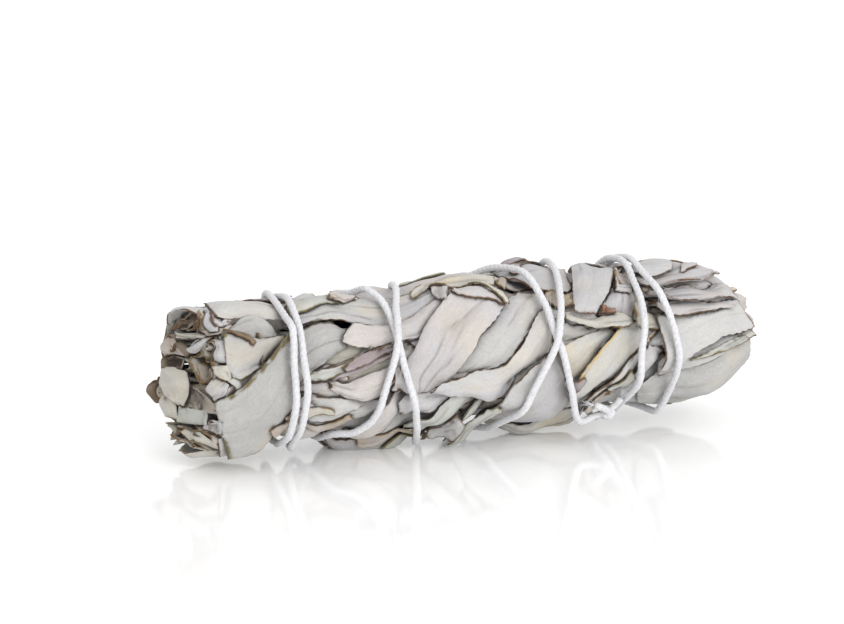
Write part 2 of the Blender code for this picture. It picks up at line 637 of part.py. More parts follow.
def knot_lump(run, cutters):
    """The lump where the string's second end is tied over its first."""
    first, last = run[:KNOT_REACH], run[-KNOT_REACH:]
    apart = np.linalg.norm(first[:, None] - last[None], axis=2)
    a, b = np.unravel_index(apart.argmin(), apart.shape)
    shape = bmesh.new()
    bmesh.ops.create_icosphere(shape, subdivisions=2, radius=KNOT / 2 * MM)
    bmesh.ops.translate(shape, verts=shape.verts, vec=Vector((first[a] + last[b]) / 2))
    mesh = bpy.data.meshes.new("knot")
    shape.to_mesh(mesh)
    shape.free()
    return helper("knot", mesh, cutters)


def roll_sections(number, reach):
    """Radius of a sprig's roll at each station, and the world place of its middle there, in millimetres."""
    facings = [60 * n + FIRST_FACING for n in range(6)]
    spans = zip([SPRIG_STATIONS[0] - 3] + SPRIG_STATIONS, SPRIG_STATIONS[1:] + SPRIG_STATIONS[-1:])
    cores = np.array([[reach.room(first, last, facing) for facing in facings] for first, last in spans])
    core = cores.min(axis=1) if number == 0 else cores[:, number - 1]
    radius = (core - 2 * ROLL_GAP) / 3
    distance = np.zeros_like(core) if number == 0 else core - radius
    return radius, to_world(np.array(SPRIG_STATIONS), facings[number - 1], distance) / MM


def sprig_solid(number, sprig, reach, collection, cutters):
    """A sprig: a soft leaf rolled lengthwise round its woody stem."""
    name = f"sprig_{number + 1}"
    across = round(sprig.turns * SIDES_A_TURN)
    first_turn = math.radians(sprig.start_angle)
    rng = random.Random(number)
    rags = [[rng.uniform(-ROLL_RAG, ROLL_RAG) for _ in range(across + 1)] for _ in range(2)]
    rolls, middles = roll_sections(number, reach)
    last = len(SPRIG_STATIONS) - 1
    shape = bmesh.new()
    bmesh.ops.create_grid(shape, x_segments=last, y_segments=across, size=0.5)
    for v in shape.verts:
        k = round((v.co.x + 0.5) * last)
        n = round((v.co.y + 0.5) * across)
        x, y, z = middles[k]
        if k == 0:
            x += sprig.ragged + rags[0][n]
        if k == last:
            x += rags[1][n]
        radius = ROLL_HEART + (rolls[k] - BLADE / 2 - ROLL_HEART) * n / across
        turn = first_turn + 2 * math.pi * n / SIDES_A_TURN
        y += radius * math.cos(turn)
        z += radius * math.sin(turn) * sprig.flat
        v.co = Vector((x, y, z)) * MM
    mesh = bpy.data.meshes.new(name)
    shape.to_mesh(mesh)
    shape.free()
    tint = SAGE_TINTS[number % len(SAGE_TINTS)]
    piece = add_object(name, mesh, tint, LEAF_ROUGHNESS, collection)
    wall = piece.modifiers.new("wall", "SOLIDIFY")
    wall.thickness = BLADE * MM
    wall.offset = 0

    heart = ROLL_HEART - STEM * 0.6
    points = middles + [0, heart * math.cos(first_turn), heart * math.sin(first_turn) * sprig.flat]
    points[0, 0] += sprig.ragged - STEM_PROUD
    points[-1, 0] -= STEM_SHORT
    stem = helper("stem", tube_mesh("stem", points * MM, STEM * MM, 0), cutters)
    join_with(piece, stem)


def back_leaves():
    """The leaves of the back, in rows along the stick, each set a little off the rule."""
    rng = random.Random(BACK_SEED)
    rows = []
    for column, (first, last) in enumerate(BACK_COLUMNS):
        for row, middle in enumerate(BACK_ROWS):
            slant = BACK_SLANT * rng.uniform(0.5, 1.1) * (1 if (row + column) % 2 else -1)
            shift = rng.uniform(-2, 2)
            turn = middle + rng.uniform(-5, 5)
            start = (first + shift, turn - slant / 2)
            end = (last + shift, turn + slant / 2)
            rows.append(blade(start, end, BACK_WIDTH, rng.uniform(-1.5, 1.5), 0.3, 0.3))
    rng.shuffle(rows)
    return rows


def main():
    for old in list(bpy.data.objects):
        bpy.data.objects.remove(old)
    stick = bpy.data.collections.new("sage_smudge_stick")
    cutters = bpy.data.collections.new("joined_shapes")
    for collection in (stick, cutters):
        bpy.context.scene.collection.children.link(collection)
    route = smooth_route()
    reach = Reach(route)
    rows = [(leaf, BACK_LEAF_STEP, False) for leaf in back_leaves() + [blade(*row) for row in UNDER_BLADES]]
    rows += [(leaf, LEAF_STEP, False) for leaf in FRONT_LEAVES]
    rows += [(blade(*row), LEAF_STEP, True) for row in REST_BLADES]
    for _ in range(PASSES):
        for leaf, step, rests in rows:
            lay(leaf, reach, step, rests)[0].free()
        reach.draw_in()
    rng = random.Random(3)
    for count, (leaf, step, rests) in enumerate(rows):
        laid = lay(leaf, reach, step, rests)
        leaf_blade(f"wrap_leaf_{count + 1:02d}", laid, rng.choice(SAGE_TINTS), stick)
    for number, sprig in enumerate(SPRIGS):
        sprig_solid(number, sprig, reach, stick, cutters)
    cotton_string(reach, route, stick, cutters)


main()
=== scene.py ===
"""A sage smudge stick with its looks: felted leaves, the rolled sprigs of its cut end and its cotton string.

The stick lies along X with its cut butt end at -X, on the plane z = 0. Places on it are given as the bundle
is made: along, in millimetres from the butt, and round, in degrees about its axis, 0 facing the front (-Y)
and 90 the top. The third measure is out, in millimetres from the axis. MM turns them into Blender's metres.
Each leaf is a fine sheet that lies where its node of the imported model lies, and takes that node's place.
"""
import json
import math
import random
from collections import namedtuple

import bmesh
import bpy
import numpy as np
from bpy.props import FloatProperty, FloatVectorProperty, IntProperty, PointerProperty
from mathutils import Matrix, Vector
from mathutils.bvhtree import BVHTree

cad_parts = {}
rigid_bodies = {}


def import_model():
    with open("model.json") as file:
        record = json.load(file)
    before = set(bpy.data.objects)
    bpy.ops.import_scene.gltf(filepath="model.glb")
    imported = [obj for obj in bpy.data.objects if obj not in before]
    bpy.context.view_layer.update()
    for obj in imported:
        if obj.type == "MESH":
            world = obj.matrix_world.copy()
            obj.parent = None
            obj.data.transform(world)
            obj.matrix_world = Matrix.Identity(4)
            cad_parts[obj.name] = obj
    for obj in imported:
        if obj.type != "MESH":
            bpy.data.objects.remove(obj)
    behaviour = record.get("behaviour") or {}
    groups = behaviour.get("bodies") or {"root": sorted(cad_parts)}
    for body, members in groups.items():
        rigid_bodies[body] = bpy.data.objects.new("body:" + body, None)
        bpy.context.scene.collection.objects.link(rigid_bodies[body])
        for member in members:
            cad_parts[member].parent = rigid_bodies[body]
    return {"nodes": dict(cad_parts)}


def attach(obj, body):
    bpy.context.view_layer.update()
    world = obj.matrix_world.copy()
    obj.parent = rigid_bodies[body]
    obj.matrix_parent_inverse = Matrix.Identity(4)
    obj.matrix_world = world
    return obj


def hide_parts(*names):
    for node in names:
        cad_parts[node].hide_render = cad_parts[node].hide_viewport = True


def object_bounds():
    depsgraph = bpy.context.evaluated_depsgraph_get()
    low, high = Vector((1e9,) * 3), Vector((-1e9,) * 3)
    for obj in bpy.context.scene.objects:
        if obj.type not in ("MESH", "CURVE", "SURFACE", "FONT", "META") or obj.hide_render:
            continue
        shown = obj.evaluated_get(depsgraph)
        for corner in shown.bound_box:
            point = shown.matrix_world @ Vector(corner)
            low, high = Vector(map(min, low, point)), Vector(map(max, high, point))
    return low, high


bl_info = {
    "name": "Sage Smudge Stick",
    "version": (1, 0, 0),
    "blender": (4, 5, 0),
    "location": "View3D > Sidebar > Smudge Stick",
    "description": "Dresses the packed model of a sage smudge stick",
    "category": "Add Mesh",
}

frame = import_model()
CAD_BOX = [list(corner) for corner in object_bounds()]
MM = 0.001

# The finishes of the leaves, by name, once they are made
FINISHES = {}

# The bundle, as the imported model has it, in millimetres
STICK_MIDDLE = 49.0
FRONT_SHIFT = -0.5
ARC = 13.0
STATIONS = [-4, 5, 14, 22.5, 40, 49, 63, 71, 87, 94, 99, 103]
AXIS_HEIGHT = [13.6, 13.6, 13.6, 13.7, 14.1, 14.6, 14.7, 14.9, 15.4, 15.2, 15.0, 14.8]
FAR_OUT = 40.0

# How the leaves lie on each other: the rounds of smoothing, then lengths in millimetres. A hug is how far an
# edge is pressed down on what is under it, and the two leaves that the stick rests on are pressed further.
SMOOTHING = 7
FACE_GAP = 0.02
ROOM_KEPT = 0.06
GAP_KEPT = 0.05
EDGE_HUG = 1.5
MOST_HUG = 0.95
REST_HUG = 3.0
REST_EDGE = 3.2
REST_NAMES = ("wrap_leaf_50", "wrap_leaf_51")

# A leaf's edges, in millimetres: rolled rims, scallops, brown rims, and how wide its thin edge is. The last
# is the share of its thickness that it keeps there.
ROLLED_RIM = 0.5
LEAST_ROLL_ROOM = 0.9
CURLED_STRIP = 1.3
CRENEL = 1.5
RIM_WIDTH = 0.28
RIM_LINE = 0.24
FEATHER = 0.9
THIN_EDGE = 0.5

# The feelers that find the crevices, which the leaves' finish darkens with painted shade: how many there are,
# how far they reach, where they start off a leaf, how far from flat along it they go at least, and where
# along X the butt's face begins, in millimetres
FEELERS = 22
FEELER_REACH = 2.0
FEELER_START = 0.28
FEELER_SLOPE = 0.18
BUTT_FACE = -41.0

# The grid on which the pile of leaves laid so far is kept: along from its first place in cells, and round
PILE_FIRST = -10.0
PILE_CELL = 0.35
PILE_ROWS = 344
PILE_TURNS = 240

# The torn bits of leaf that lie on the wrap, in millimetres
SCRAP_GRAIN = 0.32
SCRAP_BOW = 0.3
SCRAP_SMOOTHING = 4
SCRAP_SINK = 1.5

# The seeds of the random draws. Each leaf, fold or flap has its own, counted on from the first of its kind,
# and those of the wrap's leaves are counted from 0.
BACK_SEED = 7
BACK_SCRAP_SEED = 8
STRING_SEED = 11
PACKED_SEED = 21
RING_SEED = 31
SPRIG_SEEDS = 100
FOLD_SEEDS = 300
FLAP_SEEDS = 400
PACKED_SEEDS = 500
SCRAP_SEEDS = 700

# The finishes of the leaves: the main colour, the colours of patches and rims, and how much the stains show
FELTS = {
    "pale": ("pale", "lavender", "rim_brown", 0.2),
    "green": ("green", "pale", "rim_olive", 0.2),
    "lavender": ("lavender", "pale", "rim_brown", 0.1),
    "pink": ("pink", "lavender", "rim_brown", 0.15),
    "cream": ("cream", "pale", "rim_tan", 0.4),
    "tan": ("tan", "pink", "rim_tan", 0.4),
    # The next finish has the leaf's own violet cast, painted darker as painted shade for the insides of
    # curled leaves
    "shaded_mauve": ("shaded_mauve", "lavender", "rim_brown", 0.0),
    "stained": ("pale", "cream", "ochre", 1.0),
    "dried": ("dried", "tan", "rim_brown", 0.0),
    "rust": ("rust", "tan", "rim_brown", 0.0),
    # The next finish is the pale grey painted darker: painted shade on the broad leaves at the butt and under
    # the tip
    "shaded_pale": ("shaded_pale", "pale", "rim_olive", 0.2),
}

# The felt's own measures: how far apart a leaf's side veins are and how wide they and the rib are, in
# millimetres, how high veins, puckers and hairs stand, and how dark the painted shade in the crevices is
VEIN_GAP = 1.1
VEIN_WIDTH = 0.35
RIB_FROM = 0.1
RIB_TO = 0.45
VEIN_HEIGHT = 0.35
PUCKER_HEIGHT = 0.45
HAIR_HEIGHT = 0.5
GAP_SHADE = 0.85

# A leaf lies between its two edges, each given by a few places (along, round) from its start to its end.
# Finish names its colours, and rim says how brown its edges are. Rolls are how far its left and right rims
# are rolled over, and tip its end, in degrees, in the leaves of the wrap. Crenels scallop its edges, and rib
# is how deep its midrib lies.
Leaf = namedtuple("Leaf", "left right finish rim rolls tip crenels rib", defaults=((0, 0), 0, 0.08, 0.06))

FRONT_LEAVES = [
    # between the butt and the first crossing of the string
    Leaf([(6, 104), (13.5, 106), (24, 106)],
         [(6, 66), (11.5, 63), (17, 61), (24, 70)], "pale", 0.5, (40, 60)),
    Leaf([(6, 51), (9.5, 63), (13, 63), (15.5, 58)],
         [(6, 42), (9.5, 38), (12, 38), (15.5, 46)], "shaded_pale", 0.5, (30, 30)),
    Leaf([(6, 48), (9, 47), (13, 45), (16.5, 48)],
         [(6, 20), (7.5, 11), (11, 20), (14, 32), (16.5, 43)], "shaded_pale", 0.9, (30, 60)),
    Leaf([(14.5, -33), (20, -30), (23, -31), (25.5, -25), (31, -22)],
         [(15, -60), (20.5, -54), (25, -44), (29, -39), (33, -25)], "pale", 0.6, (20, 40), 0, 0.14),
    Leaf([(14.5, -2), (20.5, -6), (25, -10), (29, -14), (32, -10)],
         [(14.5, -26), (19.5, -31), (23, -32), (26, -26), (32, -20)], "pale", 0.8, (30, 30), 0, 0.2),
    # the two big leaves of the butt
    Leaf([(4.5, -38), (9.5, -32), (13.5, -22), (19, -3)],
         [(6, -66), (12.5, -60), (16, -40), (20.5, -18)], "pale", 0.6, (60, 30)),
    Leaf([(3.5, -3), (7.5, 6), (11.5, 20), (17, 43), (22, 54), (27, 50)],
         [(7, -60), (12, -57), (15.5, -29), (18, 1), (21.5, 17), (26, 30)], "shaded_pale", 0.9, (170, 20)),
    # between the first two turns of the string
    Leaf([(22.5, 7), (26.5, 3), (29.5, 8), (34, 14)],
         [(22.5, -3), (26, -12), (29, -18), (32, -15), (34, -3)], "pink", 0.8, (30, 20)),
    Leaf([(17.5, 8), (21, 16), (26, 22), (30, 28), (36, 34)],
         [(17.5, 3), (22, 5), (25, 7), (30, 13), (36, 23)], "shaded_mauve", 0.9, (60, 50)),
    Leaf([(18, 82), (22, 78), (28, 80), (33, 79), (39, 79), (44, 77)],
         [(18, 53), (19.5, 54), (23, 56), (28, 49), (33.5, 45), (38, 50), (44, 62)], "pale", 0.5, (20, 40)),
    Leaf([(25.5, 40), (27.5, 48), (32, 49), (37, 54), (42, 63), (46.5, 66)],
         [(25, 31), (28, 26), (30, 26), (34, 30), (38, 31), (41.5, 44), (46, 56)],
         "pink", 0.8, (20, 40), 150),
    Leaf([(26, -57), (29, -39), (31.5, -22), (34, -11), (38, -8)],
         [(28, -74), (32, -54), (35, -40), (36, -29), (39, -14)], "pink", 0.6, (90, 30)),
    Leaf([(34, -15), (38, -11), (42.5, -13), (46, -13)],
         [(35, -34), (39.5, -38), (42.5, -27), (45, -17)], "lavender", 0.8, (20, 30)),
    Leaf([(35.5, -38), (40, -35), (42, -23), (44.5, -12)],
         [(38.5, -76), (43, -58), (46, -33), (49, -15)], "green", 0.6, (10, 10)),
    Leaf([(42, -80), (44.5, -47), (46.5, -30), (49.5, -15)],
         [(46, -78), (48.5, -48), (50.5, -28), (53, -16)], "green", 0.6, (10, 10)),
    # the broad leaves of the middle
    Leaf([(42, -4), (43.5, 8), (46.5, 22), (50.5, 36), (54, 54), (57, 62)],
         [(47, -5), (51.5, 3), (55.5, 18), (59, 34), (61, 46), (62.5, 58)], "pale", 0.4, (30, 40), 0, 0.14),
    Leaf([(36, -15), (34.5, 5), (37, 23), (40.5, 46), (45, 59), (50, 62)],
         [(40, -15), (43, -5), (45, 5), (48, 23), (51.5, 35), (54, 50)], "pink", 0.4, (20, 40), 0, 0.1, 0.2),
    Leaf([(39, -10), (41.5, -4), (46, 2), (51, 3), (54.5, 17), (57, 31), (59.5, 43), (61.5, 49)],
         [(40, -14), (44.5, -17), (52, -23), (55, -9), (59, 2), (62, 15), (64.5, 30)],
         "pale", 0.35, (40, 40)),
    Leaf([(44, -70), (48, -36), (51.5, -21), (54, -9), (58, 2), (60.5, 8), (62, 11)],
         [(46, -78), (55, -77), (61, -64), (65.5, -48), (67.5, -27), (68.5, -12), (68, 0)],
         "pale", 0.4, (60, 30)),
    Leaf([(61.5, 35), (65, 30), (69.5, 25)], [(61.5, 14), (65, 17), (70, 21)], "pale", 0.4, (30, 50)),
    Leaf([(61.5, 11), (63.5, 15), (66, 19), (69.5, 23), (74, 24.5)],
         [(64, -20), (66, -16), (68, -3), (71, 11), (74.5, 20)], "stained", 0.3, (40, 20)),
    Leaf([(64, -26), (64.5, -14), (66, -4), (68.5, 8), (71.5, 18), (76.5, 26), (79, 28)],
         [(66, -45), (69, -35), (71, -26), (73, -17), (76, -3), (78.5, 7), (80.5, 14)],
         "stained", 0.5, (185, 30)),
    # the top of the middle and the right
    Leaf([(56, 102), (62, 104), (69, 102)],
         [(57, 69), (59.5, 60), (62.5, 59), (67, 63)], "lavender", 0.6, (90, 60)),
    Leaf([(69.5, 35), (71, 44), (73.5, 57), (75, 76)],
         [(76.5, 30), (77.5, 40), (78, 54), (79, 76)], "pink", 0.7, (30, 40)),
    Leaf([(63, 38), (66, 34), (70, 32), (73.5, 36), (76, 33)],
         [(63, 30), (66, 26), (69, 22), (73, 19), (76, 22)], "cream", 0.5, (40, 20)),
    Leaf([(78, 118), (76.5, 86), (74, 60), (71, 43), (69, 33)],
         [(71.5, 118), (69, 90), (66.5, 60), (65, 45), (63.5, 34)], "lavender", 0.5, (30, 30)),
    Leaf([(76.5, 43), (79, 41), (82, 36)], [(76, 20), (79, 17), (82, 15)], "cream", 0.5, (30, 30)),
    Leaf([(66, -42), (70.5, -22), (73.5, -8), (78, 7)],
         [(68, -54), (72, -33), (76, -20), (80, -5)], "pale", 0.7, (60, 40)),
    # the right end, tips outward
    Leaf([(70, -52), (74, -31), (76, -13), (78, 7)],
         [(80, -74), (83, -50), (83, -25), (81.5, 0)], "pale", 0.6, (40, 40)),
    Leaf([(77, -26), (85.5, -17), (90, -13), (95.5, -1), (99.5, 7)],
         [(79, -60), (89, -62), (95, -62), (99.5, -50), (100.5, -9)], "shaded_pale", 0.6, (40, 40), 0, 0.12),
    Leaf([(80.5, -1), (85.5, 0), (89, 2), (94, 8), (100, 15)],
         [(80.5, -24), (86, -18), (90, -14), (95.5, -4), (101, 2)], "pale", 0.5, (30, 40)),
    Leaf([(80.5, 31), (86.5, 34), (93, 46), (98, 56)],
         [(80, -18), (85, -8), (89, 0), (94, 6), (100.5, 12)], "pale", 0.4, (20, 50), 0, 0.18),
    Leaf([(80, 47), (83.5, 45), (88, 40), (96, 40)],
         [(80.5, 33), (83.5, 26), (88.5, 27), (96.5, 35)], "pink", 0.5, (40, 30)),
    Leaf([(79.5, 59), (84, 57), (90, 60), (97.5, 80)],
         [(79.5, 46), (82.5, 40), (86.5, 36), (98, 50)], "pink", 0.7, (30, 70)),
    Leaf([(79, 77), (83.5, 77), (90, 80), (95.5, 88)],
         [(79.5, 57), (84, 54), (90.5, 58), (96, 76)], "pink", 0.8, (30, 110)),
    Leaf([(78, 104), (84, 106), (88.5, 96)], [(78.5, 74), (82, 68), (86, 70)], "pale", 0.5, (50, 40)),
]

# Torn bits of leaf that lie on the wrap, under the string
SCRAPS = [
    Leaf([(25, -82), (30, -76), (36, -68)], [(26, -92), (32, -90), (39, -80)], "pale", 1.0),
    Leaf([(29, -66), (33, -58), (38, -52)], [(30, -78), (35, -72), (40, -62)], "tan", 1.0),
    Leaf([(34, -78), (37, -70), (40, -60)], [(36, -90), (40, -84), (43, -72)], "green", 1.0),
    Leaf([(54, -76), (62, -68), (70, -62)], [(56, -86), (64, -80), (72, -72)], "cream", 0.8),
    Leaf([(18.5, 86), (21.5, 86), (24, 81), (26.5, 79)],
         [(18, 65), (20.5, 66), (23, 67), (26.5, 69)], "green", 0.9),
    Leaf([(26, 82), (28, 82), (30, 77)], [(24.5, 70), (27, 68), (29.5, 73)], "pink", 0.8),
    Leaf([(18.5, 12), (22, 15), (26, 20), (30, 27)],
         [(18.5, 8), (22.5, 9), (27, 15), (30, 22)], "green", 0.6),
    Leaf([(24, 15), (27.5, 22), (30.5, 26), (33.5, 30)],
         [(25, 11), (28, 15), (31, 19), (34, 25)], "shaded_mauve", 1.0),
    Leaf([(34, 11), (33.5, 3), (33, -10)], [(34.5, 10), (35, 1), (36, -11)], "lavender", 0.8),
    Leaf([(42.5, 74), (42.5, 63), (42.5, 55)], [(45.5, 70), (44, 60), (43, 53)], "pale", 0.5),
    Leaf([(45, 62), (48.5, 62), (52.5, 59), (53.5, 47)],
         [(44.5, 57), (48.5, 51), (51.5, 48), (53, 44)], "pink", 0.9),
    Leaf([(48, 66), (51, 63), (53, 56), (54, 46)],
         [(48, 63), (50.5, 58), (52, 51), (53, 44)], "green", 1.0),
    Leaf([(39, 74), (43.5, 82), (48, 79), (54, 77)],
         [(39, 69), (43, 73), (47.5, 70), (53, 66)], "cream", 0.9),
    Leaf([(53, 66), (54, 71), (55.5, 78)], [(55, 63), (55.5, 68), (56, 74)], "tan", 0.8),
    Leaf([(58.5, 100), (59.5, 100), (61, 100)], [(58, 93), (58, 83), (59.5, 85)], "shaded_mauve", 1.0),
    Leaf([(61.5, 57), (63.5, 58), (65.5, 52)], [(61, 50), (62.5, 44), (64.5, 39)], "tan", 1.0),
    Leaf([(70, 39), (71.5, 39), (73, 38)], [(70, 34), (71.5, 33), (72.5, 33)], "rust", 0.9),
    Leaf([(75, 71), (77.5, 79), (79, 76)], [(74.5, 64), (76, 62), (77.5, 61)], "tan", 0.9),
    Leaf([(74.5, 62), (75.5, 60), (77.5, 60)], [(74, 54), (75, 52), (77, 51)], "lavender", 0.9),
    Leaf([(88.5, 79), (91.5, 95), (93, 94)], [(87.5, 69), (89, 71), (91.5, 78)], "pink", 1.0),
    Leaf([(15, -18), (17.5, -14), (20.5, -14), (23, -16)],
         [(15.5, -25), (18, -23), (21, -21), (23.5, -22)], "cream", 0.8),
    Leaf([(18, -31), (21, -36), (24, -34), (26.5, -29)],
         [(18.5, -36), (21.5, -42), (24.5, -40), (27.5, -34)], "tan", 0.9),
    Leaf([(13, -32), (14.5, -27), (16, -18)], [(14.5, -45), (15.5, -37), (17, -28)], "tan", 1.0),
    Leaf([(62.8, -16), (64.2, -12), (65.5, -9)],
         [(63.3, -21), (64.8, -19), (66.3, -13)], "shaded_mauve", 0.6),
    Leaf([(67, -39), (69.5, -34), (71.5, -31)], [(69, -52), (71, -46), (73, -41)], "tan", 1.0),
    Leaf([(71, -26), (73.5, -21), (75, -12)],
         [(72.5, -34), (74.5, -27), (76, -20)], "green", 0.9),
    Leaf([(85.5, -9), (91, -1), (97.5, 7)], [(85.8, -9.8), (92, -5), (98.5, 1)], "green", 0.7),
    Leaf([(45, -70), (47, -39), (50.5, -24)], [(46.5, -76), (49, -48), (52, -30)], "green", 0.9),
    Leaf([(40, -64), (42.5, -49), (44.5, -34)], [(42, -73), (44.5, -64), (46, -42)], "pale", 0.9),
    Leaf([(6, 51), (8.5, 50), (10, 46), (11, 38)],
         [(6, 47), (8, 45), (9.5, 42), (10.5, 36)], "dried", 1.0),
]

# Even blades, where the shape of a single leaf doesn't show: (start, end, width, bow) and the looks
UNDER_BLADES = [
    ((1, -86), (22, -80), 15.0, 0.5, "cream", 0.9, (40, 40)),
    ((36, -90), (57, -76), 14.0, -0.5, "pale", 0.5, (40, 40)),
    ((62, -76), (98, -72), 16.5, 0.5, "green", 0.5, (40, 40)),
    ((23, -62), (47, -54), 11.0, 0.5, "pale", 0.6, (60, 30)),
]
REST_BLADES = [
    ((25, -98), (39.5, -87), 9.0, 0.0, "tan", 0.9, (0, 0), 0, 0.3),
    ((53.5, -96), (73, -86), 9.5, 0.0, "cream", 0.9, (0, 0), 0, 0.3),
]
BLADE_SHARES = [0, 0.05, 0.15, 0.3, 0.5, 0.7, 0.85, 0.95, 1]
BLADE_WIDTHS = [0.42, 0.68, 0.87, 0.98, 1.0, 0.94, 0.8, 0.56, 0.24]

# The leaves of the back, in rows along the stick, and the torn bits on them
BACK_ROWS = [107, 158, 212]
BACK_COLUMNS = [(2, 39), (31, 70), (62, 100)]
BACK_WIDTH = 16.5
BACK_SLANT = 26
BACK_ROLLS = (60, 50)
BACK_SCRAPS = 30
BACK_SCRAPS_ALONG = (3, 86)
BACK_SCRAPS_ROUND = (112, 258)
BACK_SCRAPS_LENGTH = (6, 17)
BACK_SCRAPS_WIDTH = (2.6, 6.5)
BACK_SCRAPS_END = 97
BACK_FINISHES = ["pale", "green", "pink", "cream"]
BACK_SCRAPS_FINISHES = BACK_FINISHES + ["tan", "shaded_mauve"]

# The string's route, turn by turn, as (along, round). Each turn runs from the underside up the front, over
# the top and down the back. The later turn lies on the earlier one.
WINDING = [
    [(73.9, -37), (73.4, -42), (72.0, -47), (69.8, -49), (67.2, -47), (65.4, -40), (63.7, -20), (62.2, 0),
     (60.6, 20), (60.0, 40), (58.7, 60), (57, 80), (54.5, 112), (51, 155), (47, 205), (43.6, 245)],
    [(41.3, -90), (40.0, -75), (39.0, -60), (37.7, -40), (36.4, -20), (35.3, 0), (34.7, 15), (34.3, 30),
     (34.1, 50), (33.4, 68), (32.0, 80), (30.7, 100), (28.3, 140), (25, 185), (21.7, 230)],
    [(19.2, -90), (17.3, -50), (17.7, -20), (18.3, 20), (18.6, 60), (18.6, 100), (17.9, 150), (16.9, 220)],
    [(16.1, -90), (15.7, -50), (16.1, -20), (16.7, 20), (17.0, 60), (17.1, 100), (18.4, 140), (20.4, 190),
     (22.0, 240)],
    [(22.9, -90), (24.4, -54), (27, -45), (29.5, -33), (30.8, -20), (31.8, -5), (32.8, 10), (33.7, 25),
     (34.4, 40), (35.2, 55), (36.5, 72), (37.5, 90), (39, 115), (42, 155), (46.5, 215)],
    [(51, -90), (53.2, -50), (54.4, -38), (56.3, -20), (58.5, 0), (60.6, 20), (62.3, 40), (64, 60),
     (65.3, 80), (66.2, 100), (68.5, 140), (73, 195), (77.5, 240)],
    [(80.6, -90), (82.7, -50), (82.6, -20), (82.1, 0), (81.7, 20), (81, 32), (80, 45), (79.4, 60), (79.2, 80),
     (78.8, 120), (77.8, 180), (76.6, 240)],
    [(75.8, -90), (75.4, -40), (75.8, -20), (76, 0), (76.4, 20), (77, 40), (77.5, 60), (77.7, 80),
     (77.0, 130), (75.5, 200), (73.8, 250)],
    [(72.6, -75), (72.2, -52), (71.4, -42), (69.8, -37), (68.4, -35)],
]

# The string: how far its plies lie off its middle and how wide they are, as shares of its width, how its
# route is read, its loose fibres and frayed ends, and the loops of its knot, as shares of its width too
PLY_AWAY = 0.11
PLY_WIDTH = 0.78
ROUTE_STEP = 0.5
PAST_FACE = 0.01
THINNEST_PASS = 0.5
STRING_STEP = 0.32
FIBRE = 0.022
FUZZ_FIBRES = 260
FRAYED_FIBRES = 16
FRAYED_LENGTH = 2.6
KNOT_REACH = 40
KNOT_TURNS = (1.25, 1.1)
KNOT_LOOP = 0.62
KNOT_STRAND = 0.42
LOWEST_FIBRE = 0.05
SAME_PLACE = 0.001

# The sprigs of the core, as they are rolled: from heart, in turns, with the cut end of each shifted by first
SPRIG_STATIONS = [0, 5, 10, 13, 21, 34, 48, 62, 76, 89]
STATION_REACH = 0.4
END_REACH = 3.2
ROLL_QUADS = 30
ROLL_TURN = 12
Roll = namedtuple("Roll", "start turns heart flat first crumple finish rim")
ROLLS = [
    Roll(40, 2.3, 0.35, 0.95, 0.6, 0.10, "cream", 1.0),
    Roll(200, 2.6, 0.35, 0.92, -1.2, 0.08, "green", 1.0),
    Roll(120, 1.9, 0.5, 0.92, -1.6, 0.28, "tan", 1.0),
    Roll(330, 1.7, 0.5, 0.92, 0.6, 0.24, "green", 1.0),
    Roll(30, 1.5, 0.7, 0.95, -1.4, 0.2, "cream", 0.9),
    Roll(260, 1.6, 0.6, 0.93, -0.4, 0.22, "pale", 0.8),
    Roll(80, 1.2, 0.9, 0.92, -1.0, 0.16, "pale", 0.9),
]

